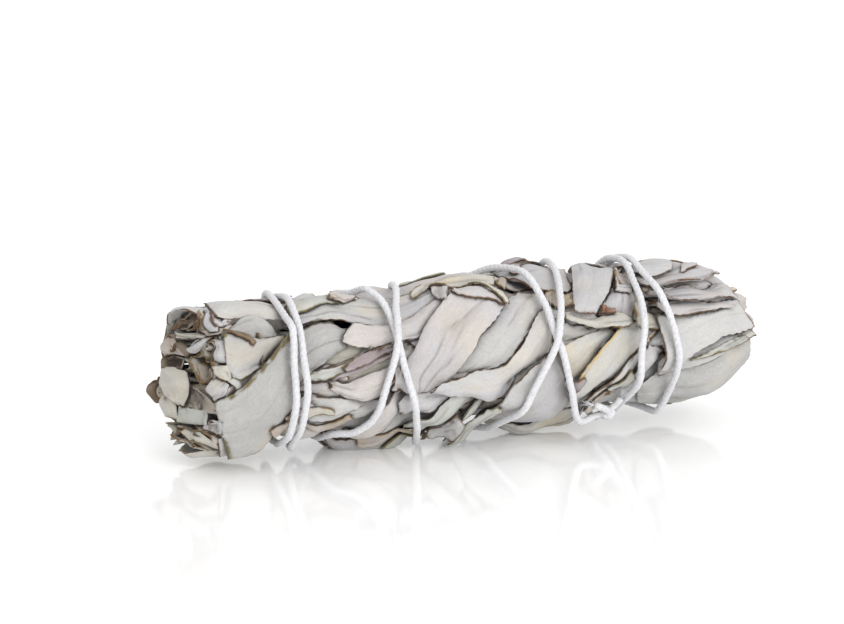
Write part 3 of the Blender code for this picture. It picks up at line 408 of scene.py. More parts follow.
# The crumpled leaves of the cut end: the cut edge of each, as places (x, y, z) in millimetres, how deep it
# runs into the stick, its finish and how brown its rim is. The cut lies askew: where it is along the stick,
# and its slopes in y and z.
BUTT_CUT = (0.2, -0.27, 0.175)
ROLLS_INSIDE = 1.6
FOLD_GRAIN = 0.3
FOLD_ROOM = 0.35
Fold = namedtuple("Fold", "edge depth finish rim")
FOLDS = [
    Fold([(-47.3, 7.9, 20.7), (-46.9, 7.4, 22.1), (-46.1, 5.3, 23.6), (-45.4, 3, 24.4), (-44.2, 3, 25.2),
          (-43.1, 3.2, 26.1), (-41.6, 3.2, 26), (-40.5, 3, 25.5), (-41.1, -1.7, 25.3),
          (-41.4, -4.4, 24.4)], 5, "dried", 1.0),
    Fold([(-44.3, -1.7, 21.5), (-44.4, -0.3, 22.8), (-44, -0.8, 24.5), (-44.2, 0.9, 25.5),
          (-42.8, 3.1, 25.8)], 9, "pale", 1.0),
    Fold([(-45, 0.2, 21.1), (-44.8, 0.7, 22.7), (-45.1, 2.6, 23.9), (-45.8, 4.1, 22.5),
          (-46.1, 5.9, 23.5), (-46.9, 7.6, 21.5)], 10, "shaded_mauve", 0.9),
    Fold([(-42.7, -6.7, 22.9), (-43, -5, 23.7), (-43.5, -3, 24.4), (-43.9, -1.5, 24.3),
          (-44.2, -0.8, 23.4)], 9, "cream", 0.7),
    Fold([(-41.4, -4.4, 24.4), (-41.3, -5.8, 23.7), (-42.7, -6.6, 23.2), (-43.7, -4.8, 22.2),
          (-44.6, -2, 21.2)], 10, "green", 0.8),
    Fold([(-47.2, 7.6, 20.6), (-46.8, 5.5, 20), (-46.1, 3, 20.1), (-45.4, 0.7, 20.7), (-44.6, -2, 21.2)],
         10, "pale", 0.4),
    Fold([(-48.4, 9.5, 15.9), (-48.4, 10.6, 17.2), (-48, 10, 18.6), (-47.6, 9, 19.6), (-47.3, 7.6, 19.4),
          (-47.1, 6.4, 18.3), (-46.7, 4.6, 17.7)], 10, "tan", 0.9),
    Fold([(-46.8, 7, 19), (-46.1, 4.5, 19.1), (-45.3, 1.7, 19.3), (-46, 3.6, 18.2), (-46.8, 5.8, 17.1)],
         9, "green", 0.7),
    Fold([(-46.3, 2.4, 18.1), (-45.5, 0.3, 19.7), (-44.8, -1.5, 21), (-43.9, -3.9, 21.9),
          (-43.2, -6.6, 22.2), (-42.7, -8.3, 21.6), (-42.6, -9.3, 20.4), (-42.6, -10.1, 18.9)],
         11, "pale", 0.5),
    Fold([(-46.1, 0.6, 17.7), (-45.5, -1.4, 18.2), (-45, -2.3, 19.4), (-44.8, -2.6, 20.4),
          (-44.3, -3.9, 21.1), (-43.9, -5.6, 20.8), (-43.9, -6.2, 19.8), (-44.3, -5.6, 18.4),
          (-44.8, -4.3, 17.8), (-44.8, -3.4, 18.6), (-44.5, -4, 19.7), (-44.3, -4.5, 20.3)],
         8, "cream", 1.0),
    Fold([(-48.9, 9.5, 13.9), (-48.7, 9.6, 15.2), (-48.3, 8.5, 16.1), (-47.6, 6.4, 16.7), (-46.9, 4, 17),
          (-46.3, 1.7, 16.9), (-46.2, 0.9, 16.1), (-46.7, 1.8, 15.1), (-47.3, 4, 15), (-48, 6.6, 14.9)],
         9, "tan", 0.9),
    Fold([(-46.4, 2.1, 17.2), (-45.9, 0.1, 16.6), (-45.6, -1.7, 16), (-45.3, -3.2, 15), (-45.2, -4.4, 14),
          (-44.9, -5.7, 13.9), (-44.5, -6.2, 15.1), (-44.3, -6.1, 16.6), (-44.3, -5.2, 17.7),
          (-44, -5.7, 18.9)], 10, "cream", 1.0),
    Fold([(-46.4, -0.2, 13.6), (-46.8, 1.9, 14.2), (-47.6, 4.8, 14.4), (-48.5, 7.9, 14.1),
          (-49, 9.2, 12.8), (-49, 8.1, 11.2), (-48.6, 5.9, 10.4), (-47.9, 3.1, 9.8), (-47.3, 0.9, 9.8),
          (-47, 0.4, 11.2)], 10, "pale", 0.4),
    Fold([(-46.8, 2.3, 12.9), (-46.1, -0.2, 13.2), (-45.4, -2.8, 12.8), (-44.8, -5.4, 12.2),
          (-44.4, -7.4, 11.5), (-44.2, -8.9, 10.7), (-45.2, -5.4, 10.1), (-46, -2.4, 10),
          (-46.9, 0.7, 9.8)], 9, "tan", 0.5),
    Fold([(-49, 9.9, 12.2), (-49.7, 12, 11.4), (-50.4, 12, 10.6), (-50.7, 11.7, 9.7), (-50.1, 11.3, 8.7),
          (-49.6, 9.5, 8.4), (-49.2, 8.8, 9.6), (-49.4, 10.1, 10.6)], 8, "dried", 1.0),
    Fold([(-49.1, 8.9, 11.7), (-48.8, 7, 10.8), (-49.1, 7.2, 9.4), (-49.4, 7.5, 8.1), (-49.2, 6.2, 7),
          (-48.7, 4.2, 6.8), (-48.1, 2, 7.1)], 10, "pale", 0.6),
    Fold([(-47.5, 1.5, 9.5), (-48.1, 2.7, 8.3), (-48.2, 2.4, 7.2), (-47.7, 0.4, 7), (-47, -1.9, 7.6),
          (-46.5, -3.9, 7.4), (-45.9, -6.1, 7.2)], 10, "cream", 0.5),
    Fold([(-47, -0.8, 9.2), (-46.3, -3.3, 9.2), (-45.4, -6.2, 10), (-44.3, -9.9, 10.7),
          (-44.2, -10.8, 9.9), (-45, -8.3, 9), (-45.9, -5.9, 7.7)], 9, "pale", 0.4),
    Fold([(-49.2, 5.2, 5.7), (-48.7, 3.2, 5.7), (-48, 0.6, 5.6), (-47.5, -1.4, 5.1), (-47.3, -2.9, 4.3),
          (-46.7, -5.2, 4), (-45.5, -6.6, 4.1), (-43.7, -5.3, 3.2), (-41.4, -2.9, 1.9)], 12, "cream", 0.8),
    Fold([(-49, 3.9, 3.5), (-48.6, 3, 4.9), (-48.1, 1.2, 5), (-47.7, -0.7, 4.2), (-48.3, 1.5, 3.9),
          (-48.9, 2.8, 2.8)], 6, "green", 1.0),
    Fold([(-48, 2, 6.1), (-47.3, -0.5, 6.3), (-46.4, -3.6, 6.5), (-45.8, -6.2, 6), (-45, -7.9, 5.2),
          (-42.9, -6.1, 3.7)], 11, "pale", 0.9),
    Fold([(-45.7, -5.3, 7.4), (-45.2, -7.5, 7), (-43.7, -9.4, 7.1), (-43, -7.8, 5.1), (-44.8, -8.6, 6),
          (-45.9, -5.3, 6.4)], 9, "lavender", 0.6),
    Fold([(-42.6, -10.2, 18.8), (-43.2, -8.2, 18.4), (-43.9, -5.9, 18), (-43.8, -5.6, 19.2)],
         8, "pale", 0.8),
    Fold([(-44.2, -6.2, 15.9), (-43.5, -7.9, 17.4), (-42.6, -10.3, 18.3), (-42.6, -10.8, 17.3),
          (-43.4, -8.8, 16.3), (-43, -10.8, 15.7)], 7, "pale", 0.8),
    Fold([(-45.2, -5.5, 13.6), (-44.5, -6.9, 15.3), (-44.3, -6.8, 16.6), (-43.7, -9.3, 16.3),
          (-42.9, -11.2, 15.8), (-42.2, -11.3, 15), (-43.2, -11.4, 13.8), (-44.5, -8.6, 12.5)],
         8, "pale", 0.4),
    Fold([(-47.5, 5.7, 21.3), (-46.9, 4.6, 23), (-46.4, 2.9, 23.5), (-45.7, 1.4, 25),
          (-44.8, 1.2, 25.5), (-45, -1.4, 24.9), (-45.3, -1.2, 23.4)], 4, "dried", 1.0),
    Fold([(-44.2, 3, 25.2), (-43, 3.1, 26), (-41.6, 3.2, 26), (-40.3, 3, 25.3), (-41.2, -2.4, 25.1),
          (-41.3, -5.4, 24)], 4, "tan", 1.0),
    Fold([(-44.9, -0.9, 25.4), (-45.1, -1.7, 23.8), (-45, -3, 22.6), (-44.4, -5.1, 22.5),
          (-43.2, -6.7, 23.1), (-41.6, -5.5, 23.8)], 4, "tan", 0.9),
    Fold([(-46.6, 3.4, 22.4), (-46, 1.8, 23.5), (-45.5, 0, 23.7), (-45.7, 0, 22.7), (-46.3, 1.9, 21.7)],
         4, "dried", 1.0),
    Fold([(-41.7, 3, 25.4), (-43.5, -2, 25.2), (-43.9, -4.6, 24.3), (-43.2, -5.6, 23.8),
          (-42.1, -4.6, 24.3)], 4, "lavender", 0.9),
    Fold([(-44.8, -5.3, 19.8), (-44.6, -5.8, 20.4), (-44.7, -5.1, 20.7), (-45.1, -3.9, 20.4),
          (-45.3, -3.5, 19.7), (-45.3, -4, 19), (-44.9, -5.6, 18.8), (-44.5, -6.9, 19.5),
          (-44.2, -7.2, 20.7), (-44.3, -6.1, 21.4), (-44.9, -4, 21.3), (-45.6, -2.1, 20.5)],
         5, "cream", 1.0),
    Fold([(-46.5, -0.3, 18.1), (-46.4, -1.2, 17), (-46.3, -2.5, 15.8), (-46.1, -4.1, 14.6),
          (-45.7, -5.8, 13.9), (-45.3, -7.2, 14.3), (-44.8, -8, 15.8), (-44.6, -7.9, 17.3),
          (-44.6, -7.2, 18.5)], 5, "cream", 1.0),
    Fold([(-45.9, -2.5, 17.2), (-45.8, -3.8, 15.9), (-45.6, -5.4, 14.9), (-45.2, -6.4, 15.6),
          (-45, -6.3, 17)], 5, "tan", 1.0),
    Fold([(-48.6, 7.8, 17.1), (-48.1, 6.9, 18.3), (-47.9, 5.4, 17.8), (-47.4, 4.5, 18.9),
          (-47, 2.7, 18.4), (-46.9, 1.5, 17.5)], 4, "dried", 1.0),
    Fold([(-49.5, 3.9, 5.9), (-49, 1.8, 5.4), (-48.3, -0.7, 5.6), (-47.7, -3.4, 5.1),
          (-46.9, -6.4, 5.3), (-45.4, -6.9, 4.3)], 4, "cream", 1.0),
    Fold([(-49.3, 2.2, 4.8), (-48.7, -0.1, 4.4), (-48.1, -2.2, 4.7), (-47.6, -4.3, 4.2)],
         4, "cream", 1.0),
    Fold([(-48.4, 0.4, 6.5), (-47.4, -3.4, 6.5), (-46.3, -7, 6.9), (-45.2, -8.7, 6),
          (-43.2, -7.1, 4.5), (-41.1, -4.3, 2.7)], 5, "tan", 1.0),
]

# The leaf faces that are folded over the cut end, each between two edges, and how far its middle bulges
Flap = namedtuple("Flap", "left right bulge finish rim")
FLAPS = [
    Flap([(-37, 10, 22), (-37, 12, 14), (-37, 8, 4.5)], [(-37, -8, 22.5), (-37, -11, 15), (-37, -8, 5)],
         -0.6, "dried", 0.3),
    Flap([(-49.2, 7.7, 14.7), (-49.5, 7.8, 13), (-49.5, 6.7, 11.4), (-49, 4.2, 10.5), (-48.1, 0.5, 10.1)],
         [(-47.8, 3.1, 15.6), (-46.9, -0.4, 15.3), (-46.9, -1.4, 14.1), (-47.2, -1.4, 12.1),
          (-47.7, -1, 10.3)], 1.2, "cream", 0.5),
    Flap([(-46.8, 0.7, 13.4), (-47.2, 0.8, 11.8), (-47.3, 0.3, 9.9)],
         [(-45.7, -3.8, 13.1), (-44.7, -8.1, 12), (-44.5, -10, 10.8)], -0.6, "tan", 0.5),
    Flap([(-45.6, -1.3, 20.2), (-44.8, -3.4, 21.4), (-44, -5.9, 22.2)],
         [(-46.4, 0.8, 18.6), (-45.6, -1.9, 19), (-45.3, -2.7, 19.6)], 0.4, "pale", 0.8),
    Flap([(-44, -5.5, 21.9), (-44, -6.6, 20.2), (-44.3, -6.9, 18.2)],
         [(-42.4, -7.8, 22.1), (-42.6, -9.1, 20.6), (-42.6, -10.2, 18.8)], 0.6, "pale", 0.5),
    Flap([(-42.8, 3, 25.3), (-44.5, -2, 24.5), (-44.6, -2.9, 22.2)],
         [(-41, 1.7, 25.4), (-42.1, -3.9, 24.7), (-43.1, -6.5, 23.2)], 0.6, "lavender", 0.6),
    Flap([(-44, 3, 25.4), (-45.5, 2.4, 24.5), (-46.5, 5.2, 23), (-47.2, 6.9, 21.2)],
         [(-44.4, -1.6, 24.4), (-45.1, 0.2, 23.4), (-45.9, 2.4, 22.2), (-46.8, 5.3, 21.2)],
         -0.8, "dried", 1.0),
    Flap([(-47.3, 5.9, 20.9), (-46.5, 2.8, 21.2), (-45.4, -0.8, 21.8), (-44.5, -3.8, 22.1)],
         [(-47.1, 4.7, 20.2), (-46.4, 1.9, 20.4), (-45.6, -0.7, 21), (-44.7, -3.3, 21.7)], 0.2, "cream", 0.3),
    Flap([(-44.5, -7.9, 16.2), (-45, -6.8, 14.8), (-45.5, -6, 13.5)],
         [(-42.8, -11.2, 15.7), (-43.5, -11.4, 14.2), (-44.7, -9.3, 12.5)], 0.8, "pale", 0.6),
    Flap([(-47.9, 0.9, 9.7), (-48.3, 1.7, 8.3), (-48.4, 1, 7)],
         [(-46.6, -3.4, 10.1), (-45.7, -7.1, 10.1), (-45.9, -7.4, 8.1)], 0.7, "green", 0.6),
    Flap([(-49.2, 6.7, 10.9), (-49.5, 6.4, 8.8), (-49.4, 4.9, 7)],
         [(-48.9, 5.4, 10.9), (-48, 1.6, 9.9), (-48.3, 1.1, 7.3)], 0.7, "cream", 0.6),
    Flap([(-45.6, -6.9, 8.9), (-45.9, -6.5, 8.2), (-46, -6.4, 7.5)],
         [(-44.4, -10.7, 9.5), (-43.9, -10.3, 8.6), (-43.7, -9.4, 7.1)], -0.3, "lavender", 0.5),
    Flap([(-48.2, -0.2, 6), (-47.6, -2.8, 5.6), (-47, -5.6, 4.6)],
         [(-46.4, -6.1, 7.1), (-45.2, -8.7, 6), (-41.5, -3.4, 2.4)], 0.6, "cream", 1.0),
    Flap([(-44.2, -7.6, 17.9), (-44.1, -8.4, 17.1), (-43.9, -9.6, 16.2)],
         [(-42.7, -10.4, 18.4), (-42.8, -10.7, 17.5), (-43, -11.1, 16.3)], 0.4, "cream", 0.9),
    Flap([(-48.6, 8.6, 16), (-48.9, 9.3, 15.2), (-48.9, 8.7, 14.3)],
         [(-47.2, 4, 17), (-46.7, 2.1, 16.9), (-47, 2, 15.3)], -1.0, "dried", 1.0),
    Flap([(-48, 8.8, 19.4), (-48.5, 9.7, 17.9), (-48.5, 8.9, 16.4)],
         [(-47.3, 6.3, 19.5), (-47, 4.3, 18.4), (-46.6, 2.5, 17.6)], 0.6, "tan", 1.0),
]

# The leaves under the wrap, in rows round the stick
PACKED_GRAIN = 0.6
PACKED_SMOOTHING = 14
PACKED_GAP = 0.75
PACKED_FINISHES = ["pale", "tan", "green", "pink", "cream", "shaded_mauve"]
PACKED_LOWEST = 0.6
LEAST_OUT = 0.6
PACKED_COLUMNS = [(5, 26), (17, 43), (35, 61), (53, 79), (70, 96), (79, 98.5)]
PACKED_ROUND = 7
PACKED_WIDTH = 13.0

# The leaves that fill the tip: (start, end, width, bow) and the looks, numbered on from the first
TIP_BLADES = [
    ((84, 52), (100, 50), 10.0, 0.0, "pink", 0.6),
    ((84, 74), (98.5, 76), 9.0, 0.0, "pink", 0.6),
    ((85, 20), (100.5, 26), 10.0, 0.0, "pink", 0.6),
]
FIRST_TIP_BLADE = 90

# The leaf tips inside the tip end, ring by ring: how deep under the wrap, how many, and where they end
TIP_RINGS = [(2.2, 6, 98.0), (4.6, 5, 97.0), (7.2, 4, 96.0), (9.8, 3, 95.0)]
TIP_ROOT = 80.0
TIP_RING_WIDTH = 84.0
TIP_RING_FINISHES = ["pale", "green", "pink", "tan", "cream"]
FIRST_RING_LEAF = 200

# The white floor, which gives out a little light, as a lit studio table does, and the one soft light
FLOOR_SIZE = 3.0
FLOOR_WHITE = 0.98
FLOOR_GLOW = 0.06
KEY_PLACE = (0.12, -0.66, 0.27)
KEY_SIZE = 0.45
KEY_POWER = 2.9

# The camera of the photograph: its angle, its lens, and the place that it looks at
CAMERA_AZIMUTH = -20.0
CAMERA_ELEVATION = 12.0
CAMERA_LENS = 100.0
CAMERA_DISTANCE = 392.0
LOOK_ALONG = 49.0
LOOK_HEIGHT = 12.0
LOOK_RIGHT = -6.2
LOOK_UP = 9.5


def seen(red, green, blue):
    """The scene-linear colour of one that is seen as these 0 to 255 values."""
    return [(value / 255 + 0.055) ** 2.4 / 1.055 ** 2.4 for value in (red, green, blue)]


def colour_property(name, description, red, green, blue):
    return FloatVectorProperty(name=name, description=description, subtype="COLOR", size=3, min=0, max=1,
                               default=seen(red, green, blue))


class StickSizes(bpy.types.PropertyGroup):
    """Sizes that a user would change."""
    leaf_thickness: FloatProperty(
        name="Leaf thickness", description="Thickness of a felted leaf", default=0.45 * MM, unit="LENGTH")
    leaf_grain: FloatProperty(
        name="Leaf grain", description="Side of the quads that a leaf is made of", default=0.42 * MM,
        unit="LENGTH")
    string_width: FloatProperty(
        name="String width", description="Diameter of the cotton string", default=1.25 * MM, unit="LENGTH")
    string_plies: IntProperty(
        name="Plies", description="Strands that the string is twisted from", default=3, min=2, max=5)
    string_lay: FloatProperty(
        name="Lay", description="Length of one turn of the string's twist", default=3.4 * MM, unit="LENGTH")


class StickColours(bpy.types.PropertyGroup):
    """Colours that a user would change."""
    pale: colour_property("Pale grey", "Most leaves", 202, 201, 198)
    green: colour_property("Grey green", "Leaves from the shade", 194, 196, 188)
    # The next colour is the pale grey painted darker: painted shade for the broad leaves at the butt and
    # under the tip
    shaded_pale: colour_property("Ash grey", "The broad leaves at the butt and under the tip", 187, 186, 184)
    lavender: colour_property("Lavender grey", "Leaves with a violet cast", 200, 198, 201)
    pink: colour_property("Beige pink", "Warm leaves", 205, 199, 195)
    cream: colour_property("Cream", "Young leaves", 205, 200, 187)
    tan: colour_property("Tan", "Leaf undersides in the folds", 184, 172, 158)
    # The next colour has the leaf's own violet cast, painted darker as painted shade for the insides of
    # curled leaves
    shaded_mauve: colour_property("Mauve", "Insides of curled leaves", 166, 154, 155)
    stained: colour_property("Stained", "Leaves with a yellow stain", 212, 194, 160)
    rim_brown: colour_property("Rim brown", "Dried rims", 102, 79, 60)
    rim_tan: colour_property("Rim tan", "Rims at the cut end", 122, 100, 70)
    dried: colour_property("Dried", "Dried curls at the cut end", 140, 124, 104)
    ochre: colour_property("Ochre", "Rims of the stained leaves", 200, 174, 124)
    rust: colour_property("Rust", "A rusty bit of leaf", 172, 108, 80)
    rim_olive: colour_property("Rim olive", "Green rims", 110, 100, 70)
    shade: colour_property("Shade", "Dust and shade in the gaps between leaves", 52, 43, 36)
    cotton: colour_property("Cotton", "The string", 217, 217, 220)


def girth_axis(along):
    """How high the axis lies, in millimetres."""
    return np.interp(along, STATIONS, AXIS_HEIGHT)


def to_world(along, round_, out):
    """World place in millimetres of a place on the bundle."""
    turn = np.radians(round_)
    x = along - STICK_MIDDLE
    y = -out * np.cos(turn) - FRONT_SHIFT
    z = girth_axis(along) + out * np.sin(turn)
    return np.stack(np.broadcast_arrays(x, y, z), axis=-1)


def vectors(rows, key):
    """The vectors that a mesh's rows, such as its vertices, have under this key."""
    values = np.zeros(len(rows) * 3)
    rows.foreach_get(key, values)
    return values.reshape(-1, 3)


def search_tree(pieces):
    """A search tree over the faces of these pieces."""
    shape = bmesh.new()
    for piece in pieces:
        shape.from_mesh(piece.data)
    tree = BVHTree.FromBMesh(shape)
    shape.free()
    return tree


def faces_of(names):
    """A search tree over the faces of these nodes."""
    return search_tree([frame["nodes"][name] for name in names])


def wrap_faces():
    """A search tree over the faces of all the leaves of the wrap."""
    return faces_of([name for name in frame["nodes"] if name.startswith("wrap_leaf")])


def sight(along, round_):
    """The place on the axis under a place of the bundle, and the way out from there."""
    turn = math.radians(round_)
    axis = Vector((along - STICK_MIDDLE, -FRONT_SHIFT, float(girth_axis(along)))) * MM
    return axis, Vector((0, -math.cos(turn), math.sin(turn)))


def outer_face(tree, along, round_):
    """How far out these faces reach at each place of a grid, and nan where they don't cover it."""
    out = np.full(along.shape, np.nan)
    for place in np.ndindex(along.shape):
        axis, way = sight(along[place], round_[place])
        hit = tree.ray_cast(axis + way * FAR_OUT * MM, -way, FAR_OUT * MM)[0]
        if hit:
            out[place] = (hit - axis).length / MM
    return out


def next_face(tree, along, round_, out=0.0):
    """How far it is outward from this place to the next face, or None."""
    axis, way = sight(along, round_)
    distance = tree.ray_cast(axis + way * out * MM, way, FAR_OUT * MM)[3]
    return None if distance is None else distance / MM


def headroom(tree, along, round_, out, open_sky=FAR_OUT):
    """How far it is outward from each place of a grid to the next face."""
    room = np.full(along.shape, open_sky)
    for place in np.ndindex(along.shape):
        room[place] = next_face(tree, along[place], round_[place], out[place]) or open_sky
    return room


def beside(values):
    """The sum of each cell's four neighbours, with the edges repeated."""
    wide = np.pad(values, 1, mode="edge")
    return wide[2:, 1:-1] + wide[:-2, 1:-1] + wide[1:-1, 2:] + wide[1:-1, :-2]


def fill_gaps(values):
    """Spread the known values of a grid over its unknown cells."""
    values = values.copy()
    while np.isnan(values).any():
        known = ~np.isnan(values)
        total = beside(np.where(known, values, 0))
        count = beside(known.astype(float))
        near = ~known & (count > 0)
        values[near] = total[near] / count[near]
    return values


def smoothed(values, rounds):
    """A grid's values, each drawn toward its neighbours so many times."""
    for _ in range(rounds):
        values = (values * 4 + beside(values)) / 8
    return values


def unit_grid(n, m):
    """Shares from 0 to 1 along and across a sheet of n by m quads."""
    return np.meshgrid(np.linspace(0, 1, n + 1), np.linspace(0, 1, m + 1), indexing="ij")


def run_lengths(points):
    """How far along a run of places each of them lies."""
    return np.concatenate([[0], np.cumsum(np.linalg.norm(np.diff(points, axis=0), axis=1))])


def soft_noise(rng, u, w, cells_u, cells_w):
    """Smooth random values between -1 and 1 over a sheet, with so many cells along and across it."""
    cells_u, cells_w = max(1, int(cells_u)), max(1, int(cells_w))
    lattice = rng.uniform(-1, 1, (cells_u + 2, cells_w + 2))
    a, b = np.clip(u, 0, 1) * cells_u, np.clip(w, 0, 1) * cells_w
    i, j = a.astype(int), b.astype(int)
    a, b = a - i, b - j
    a, b = a * a * (3 - 2 * a), b * b * (3 - 2 * b)
    low = lattice[i, j] * (1 - a) + lattice[i + 1, j] * a
    high = lattice[i, j + 1] * (1 - a) + lattice[i + 1, j + 1] * a
    return low * (1 - b) + high * b


def smooth_step(low, high, values):
    """Shares that rise smoothly from 0 at low to 1 at high."""
    share = np.clip((values - low) / (high - low), 0, 1)
    return share * share * (3 - 2 * share)


def leaf_thickness():
    """The thickness of a leaf in millimetres."""
    return bpy.context.scene.stick_sizes.leaf_thickness / MM


def mesh_of(shape, name):
    """A mesh made from a bmesh, which is used up."""
    mesh = bpy.data.meshes.new(name)
    shape.to_mesh(mesh)
    shape.free()
    return mesh


def flat_mesh(name, n, m, size):
    """A flat mesh of n by m quads, which reaches so far from its middle."""
    shape = bmesh.new()
    bmesh.ops.create_grid(shape, x_segments=n, y_segments=m, size=size)
    return mesh_of(shape, name)


def add_object(name, data):
    """An object with this data, in the scene."""
    added = bpy.data.objects.new(name, data)
    bpy.context.scene.collection.objects.link(added)
    return added


def hand_over(piece, replaced):
    """Say what a piece rides on and which nodes it takes the place of."""
    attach(piece, "root")
    if replaced:
        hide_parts(*replaced)


def sheet(name, places, flat, from_edge, finish, marks, replaced=()):
    """Make a thin sheet through a grid of places, thinner at its edges, with its flat places and masks."""
    places[..., 2] = np.maximum(places[..., 2], leaf_thickness() / 2)
    n, m = places.shape[0] - 1, places.shape[1] - 1
    mesh = flat_mesh(name, n, m, 0.5)
    corners = vectors(mesh.vertices, "co")
    i = np.rint((corners[:, 0] + 0.5) * n).astype(int)
    j = np.rint((corners[:, 1] + 0.5) * m).astype(int)
    mesh.vertices.foreach_set("co", (places[i, j] * MM).ravel())
    for mark, values in marks.items():
        layer = mesh.attributes.new(mark, "FLOAT", "POINT")
        layer.data.foreach_set("value", values[i, j].astype(np.float32))
    loops = np.zeros(len(mesh.loops), int)
    mesh.loops.foreach_get("vertex_index", loops)
    unrolled = mesh.uv_layers.new(name="UVMap")
    unrolled.uv.foreach_set("vector", (flat[i, j][loops] * MM).astype(np.float32).ravel())
    mesh.materials.append(leaf_finishes()[finish])
    mesh.shade_smooth()
    mesh.update()
    piece = add_object(name, mesh)
    feather = piece.vertex_groups.new(name="feather")
    weights = np.clip(from_edge / FEATHER, THIN_EDGE, 1)[i, j]
    for weight in np.unique(np.round(weights, 2)):
        feather.add(np.flatnonzero(np.round(weights, 2) == weight).tolist(), float(weight), "REPLACE")
    wall = piece.modifiers.new("wall", "SOLIDIFY")
    wall.thickness = bpy.context.scene.stick_sizes.leaf_thickness
    wall.offset = 0
    wall.vertex_group = feather.name
    hand_over(piece, replaced)


def feelers():
    """Directions spread evenly over a sphere."""
    step = np.arange(FEELERS) + 0.5
    rise = 1 - 2 * step / FEELERS
    turn = step * math.pi * (1 + math.sqrt(5))
    across = np.sqrt(1 - rise ** 2)
    return np.stack([across * np.cos(turn), across * np.sin(turn), rise], axis=-1)


def closed_in(tree, starts, normals, rays, ways):
    """How closed in each place is on the side of its normal, from 0 to 1."""
    facing = normals @ rays.T > FEELER_SLOPE
    closed = np.zeros(len(starts))
    for n, start in enumerate(starts):
        start = Vector(start)
        for k in np.flatnonzero(facing[n]):
            distance = tree.ray_cast(start, ways[k], FEELER_REACH * MM)[3]
            if distance is not None:
                closed[n] += 1 - distance / (FEELER_REACH * MM)
    return closed / facing.sum(axis=1)


def paint_crevice_shade(pieces):
    """Mark how closed in the leaves are all over, by feelers sent out from them to the leaves near by, as
    painted shade for the crevices.
    """
    tree = search_tree(pieces)
    rays = feelers()
    ways = [Vector(ray) for ray in rays]
    for piece in pieces:
        places, normals = (vectors(piece.data.vertices, key) for key in ("co", "normal"))
        marks = piece.data.attributes["gap"].data
        gap = np.zeros(len(marks))
        marks.foreach_get("value", gap)
        outward = places - [0, 0, float(girth_axis(STICK_MIDDLE)) * MM]
        outward[:, 0] = np.where(outward[:, 0] < BUTT_FACE * MM, -0.01, 0)
        normals *= np.where((normals * outward).sum(axis=1) < 0, -1, 1)[:, None]
        start = FEELER_START * MM * normals
        closed = closed_in(tree, places + start, normals, rays, ways)
        if piece.name.startswith(("butt_fold", "sprig")):
            closed = np.minimum(closed, closed_in(tree, places - start, -normals, rays, ways))
        # The gap mask is painted shade: how closed in a place is, added to any painted shade set when the
        # piece was made
        marks.foreach_set("value", np.clip(gap + closed, 0, 1).astype(np.float32))


class Pile:
    """How far out the fine leaves laid so far reach, on a grid of places along and round the stick."""

    def __init__(self):
        self.out = np.zeros((PILE_ROWS, PILE_TURNS))

    def cells(self, along, round_):
        """The cells in which these places lie."""
        i = np.clip(np.rint((along - PILE_FIRST) / PILE_CELL).astype(int), 1, PILE_ROWS - 2)
        return i, np.rint(np.mod(round_, 360) / 360 * PILE_TURNS).astype(int) % PILE_TURNS

    def add(self, along, round_, out):
        """Raise the pile to a sheet, read at its corners and halfway between them."""
        for rows in (slice(None), slice(1, None)):
            for columns in (slice(None), slice(1, None)):
                halfway = []
                for values in (along, round_, out):
                    values = (values[rows] + values[:len(values[rows])]) / 2
                    halfway.append((values[:, columns] + values[:, :values[:, columns].shape[1]]) / 2)
                np.maximum.at(self.out, self.cells(halfway[0], halfway[1]), halfway[2])

    def read(self, along, round_):
        """The highest reach in the cells round each place."""
        i, j = self.cells(along, round_)
        near = [self.out[i + a, (j + b) % PILE_TURNS] for a in (-1, 0, 1) for b in (-1, 0, 1)]
        return np.max(near, axis=0)


PILE = Pile()


def flattened(places):
    """Places (along, round) as they lie on the unrolled bundle, in millimetres."""
    return np.array(places, float) * [1.0, math.radians(1) * ARC]


def blade(start, end, width, bow, *looks):
    """A leaf with even edges, on a bowed midline from start to end."""
    start, end = flattened([start, end])
    run = end - start
    side = np.array([-run[1], run[0]]) / np.hypot(*run)
    edges = []
    for half in (width / 2, -width / 2):
        flat = [start + run * u + side * (half * share + bow * 4 * u * (1 - u))
                for u, share in zip(BLADE_SHARES, BLADE_WIDTHS)]
        edges.append(np.array(flat) / flattened([1.0, 1.0]))
    return Leaf(*edges, *looks)


def back_leaves():
    """The leaves of the back, in rows along the stick, each set a little off the rule."""
    rng = random.Random(BACK_SEED)
    rows = []
    for column, (first, last) in enumerate(BACK_COLUMNS):
        for row, middle in enumerate(BACK_ROWS):
            slant = BACK_SLANT * rng.uniform(0.5, 1.1) * (1 if (row + column) % 2 else -1)
            shift = rng.uniform(-2, 2)
            turn = middle + rng.uniform(-5, 5)
            start = (first + shift, turn - slant / 2)
            end = (last + shift, turn + slant / 2)
            finish = BACK_FINISHES[(row + 2 * column) % len(BACK_FINISHES)]
            rows.append(blade(start, end, BACK_WIDTH, rng.uniform(-1.5, 1.5), finish, 0.6, BACK_ROLLS))
    rng.shuffle(rows)
    return rows


def back_scraps():
    """Torn bits of leaf all over the back and the underside, placed by rule."""
    rng = random.Random(BACK_SCRAP_SEED)
    rows = []
    for _ in range(BACK_SCRAPS):
        along, turn = rng.uniform(*BACK_SCRAPS_ALONG), rng.uniform(*BACK_SCRAPS_ROUND)
        end = (min(along + rng.uniform(*BACK_SCRAPS_LENGTH), BACK_SCRAPS_END), turn + rng.uniform(-24, 24))
        finish = rng.choice(BACK_SCRAPS_FINISHES)
        width, bow = rng.uniform(*BACK_SCRAPS_WIDTH), rng.uniform(-1, 1)
        rows.append(blade((along, turn), end, width, bow, finish, 1.0))
    return rows


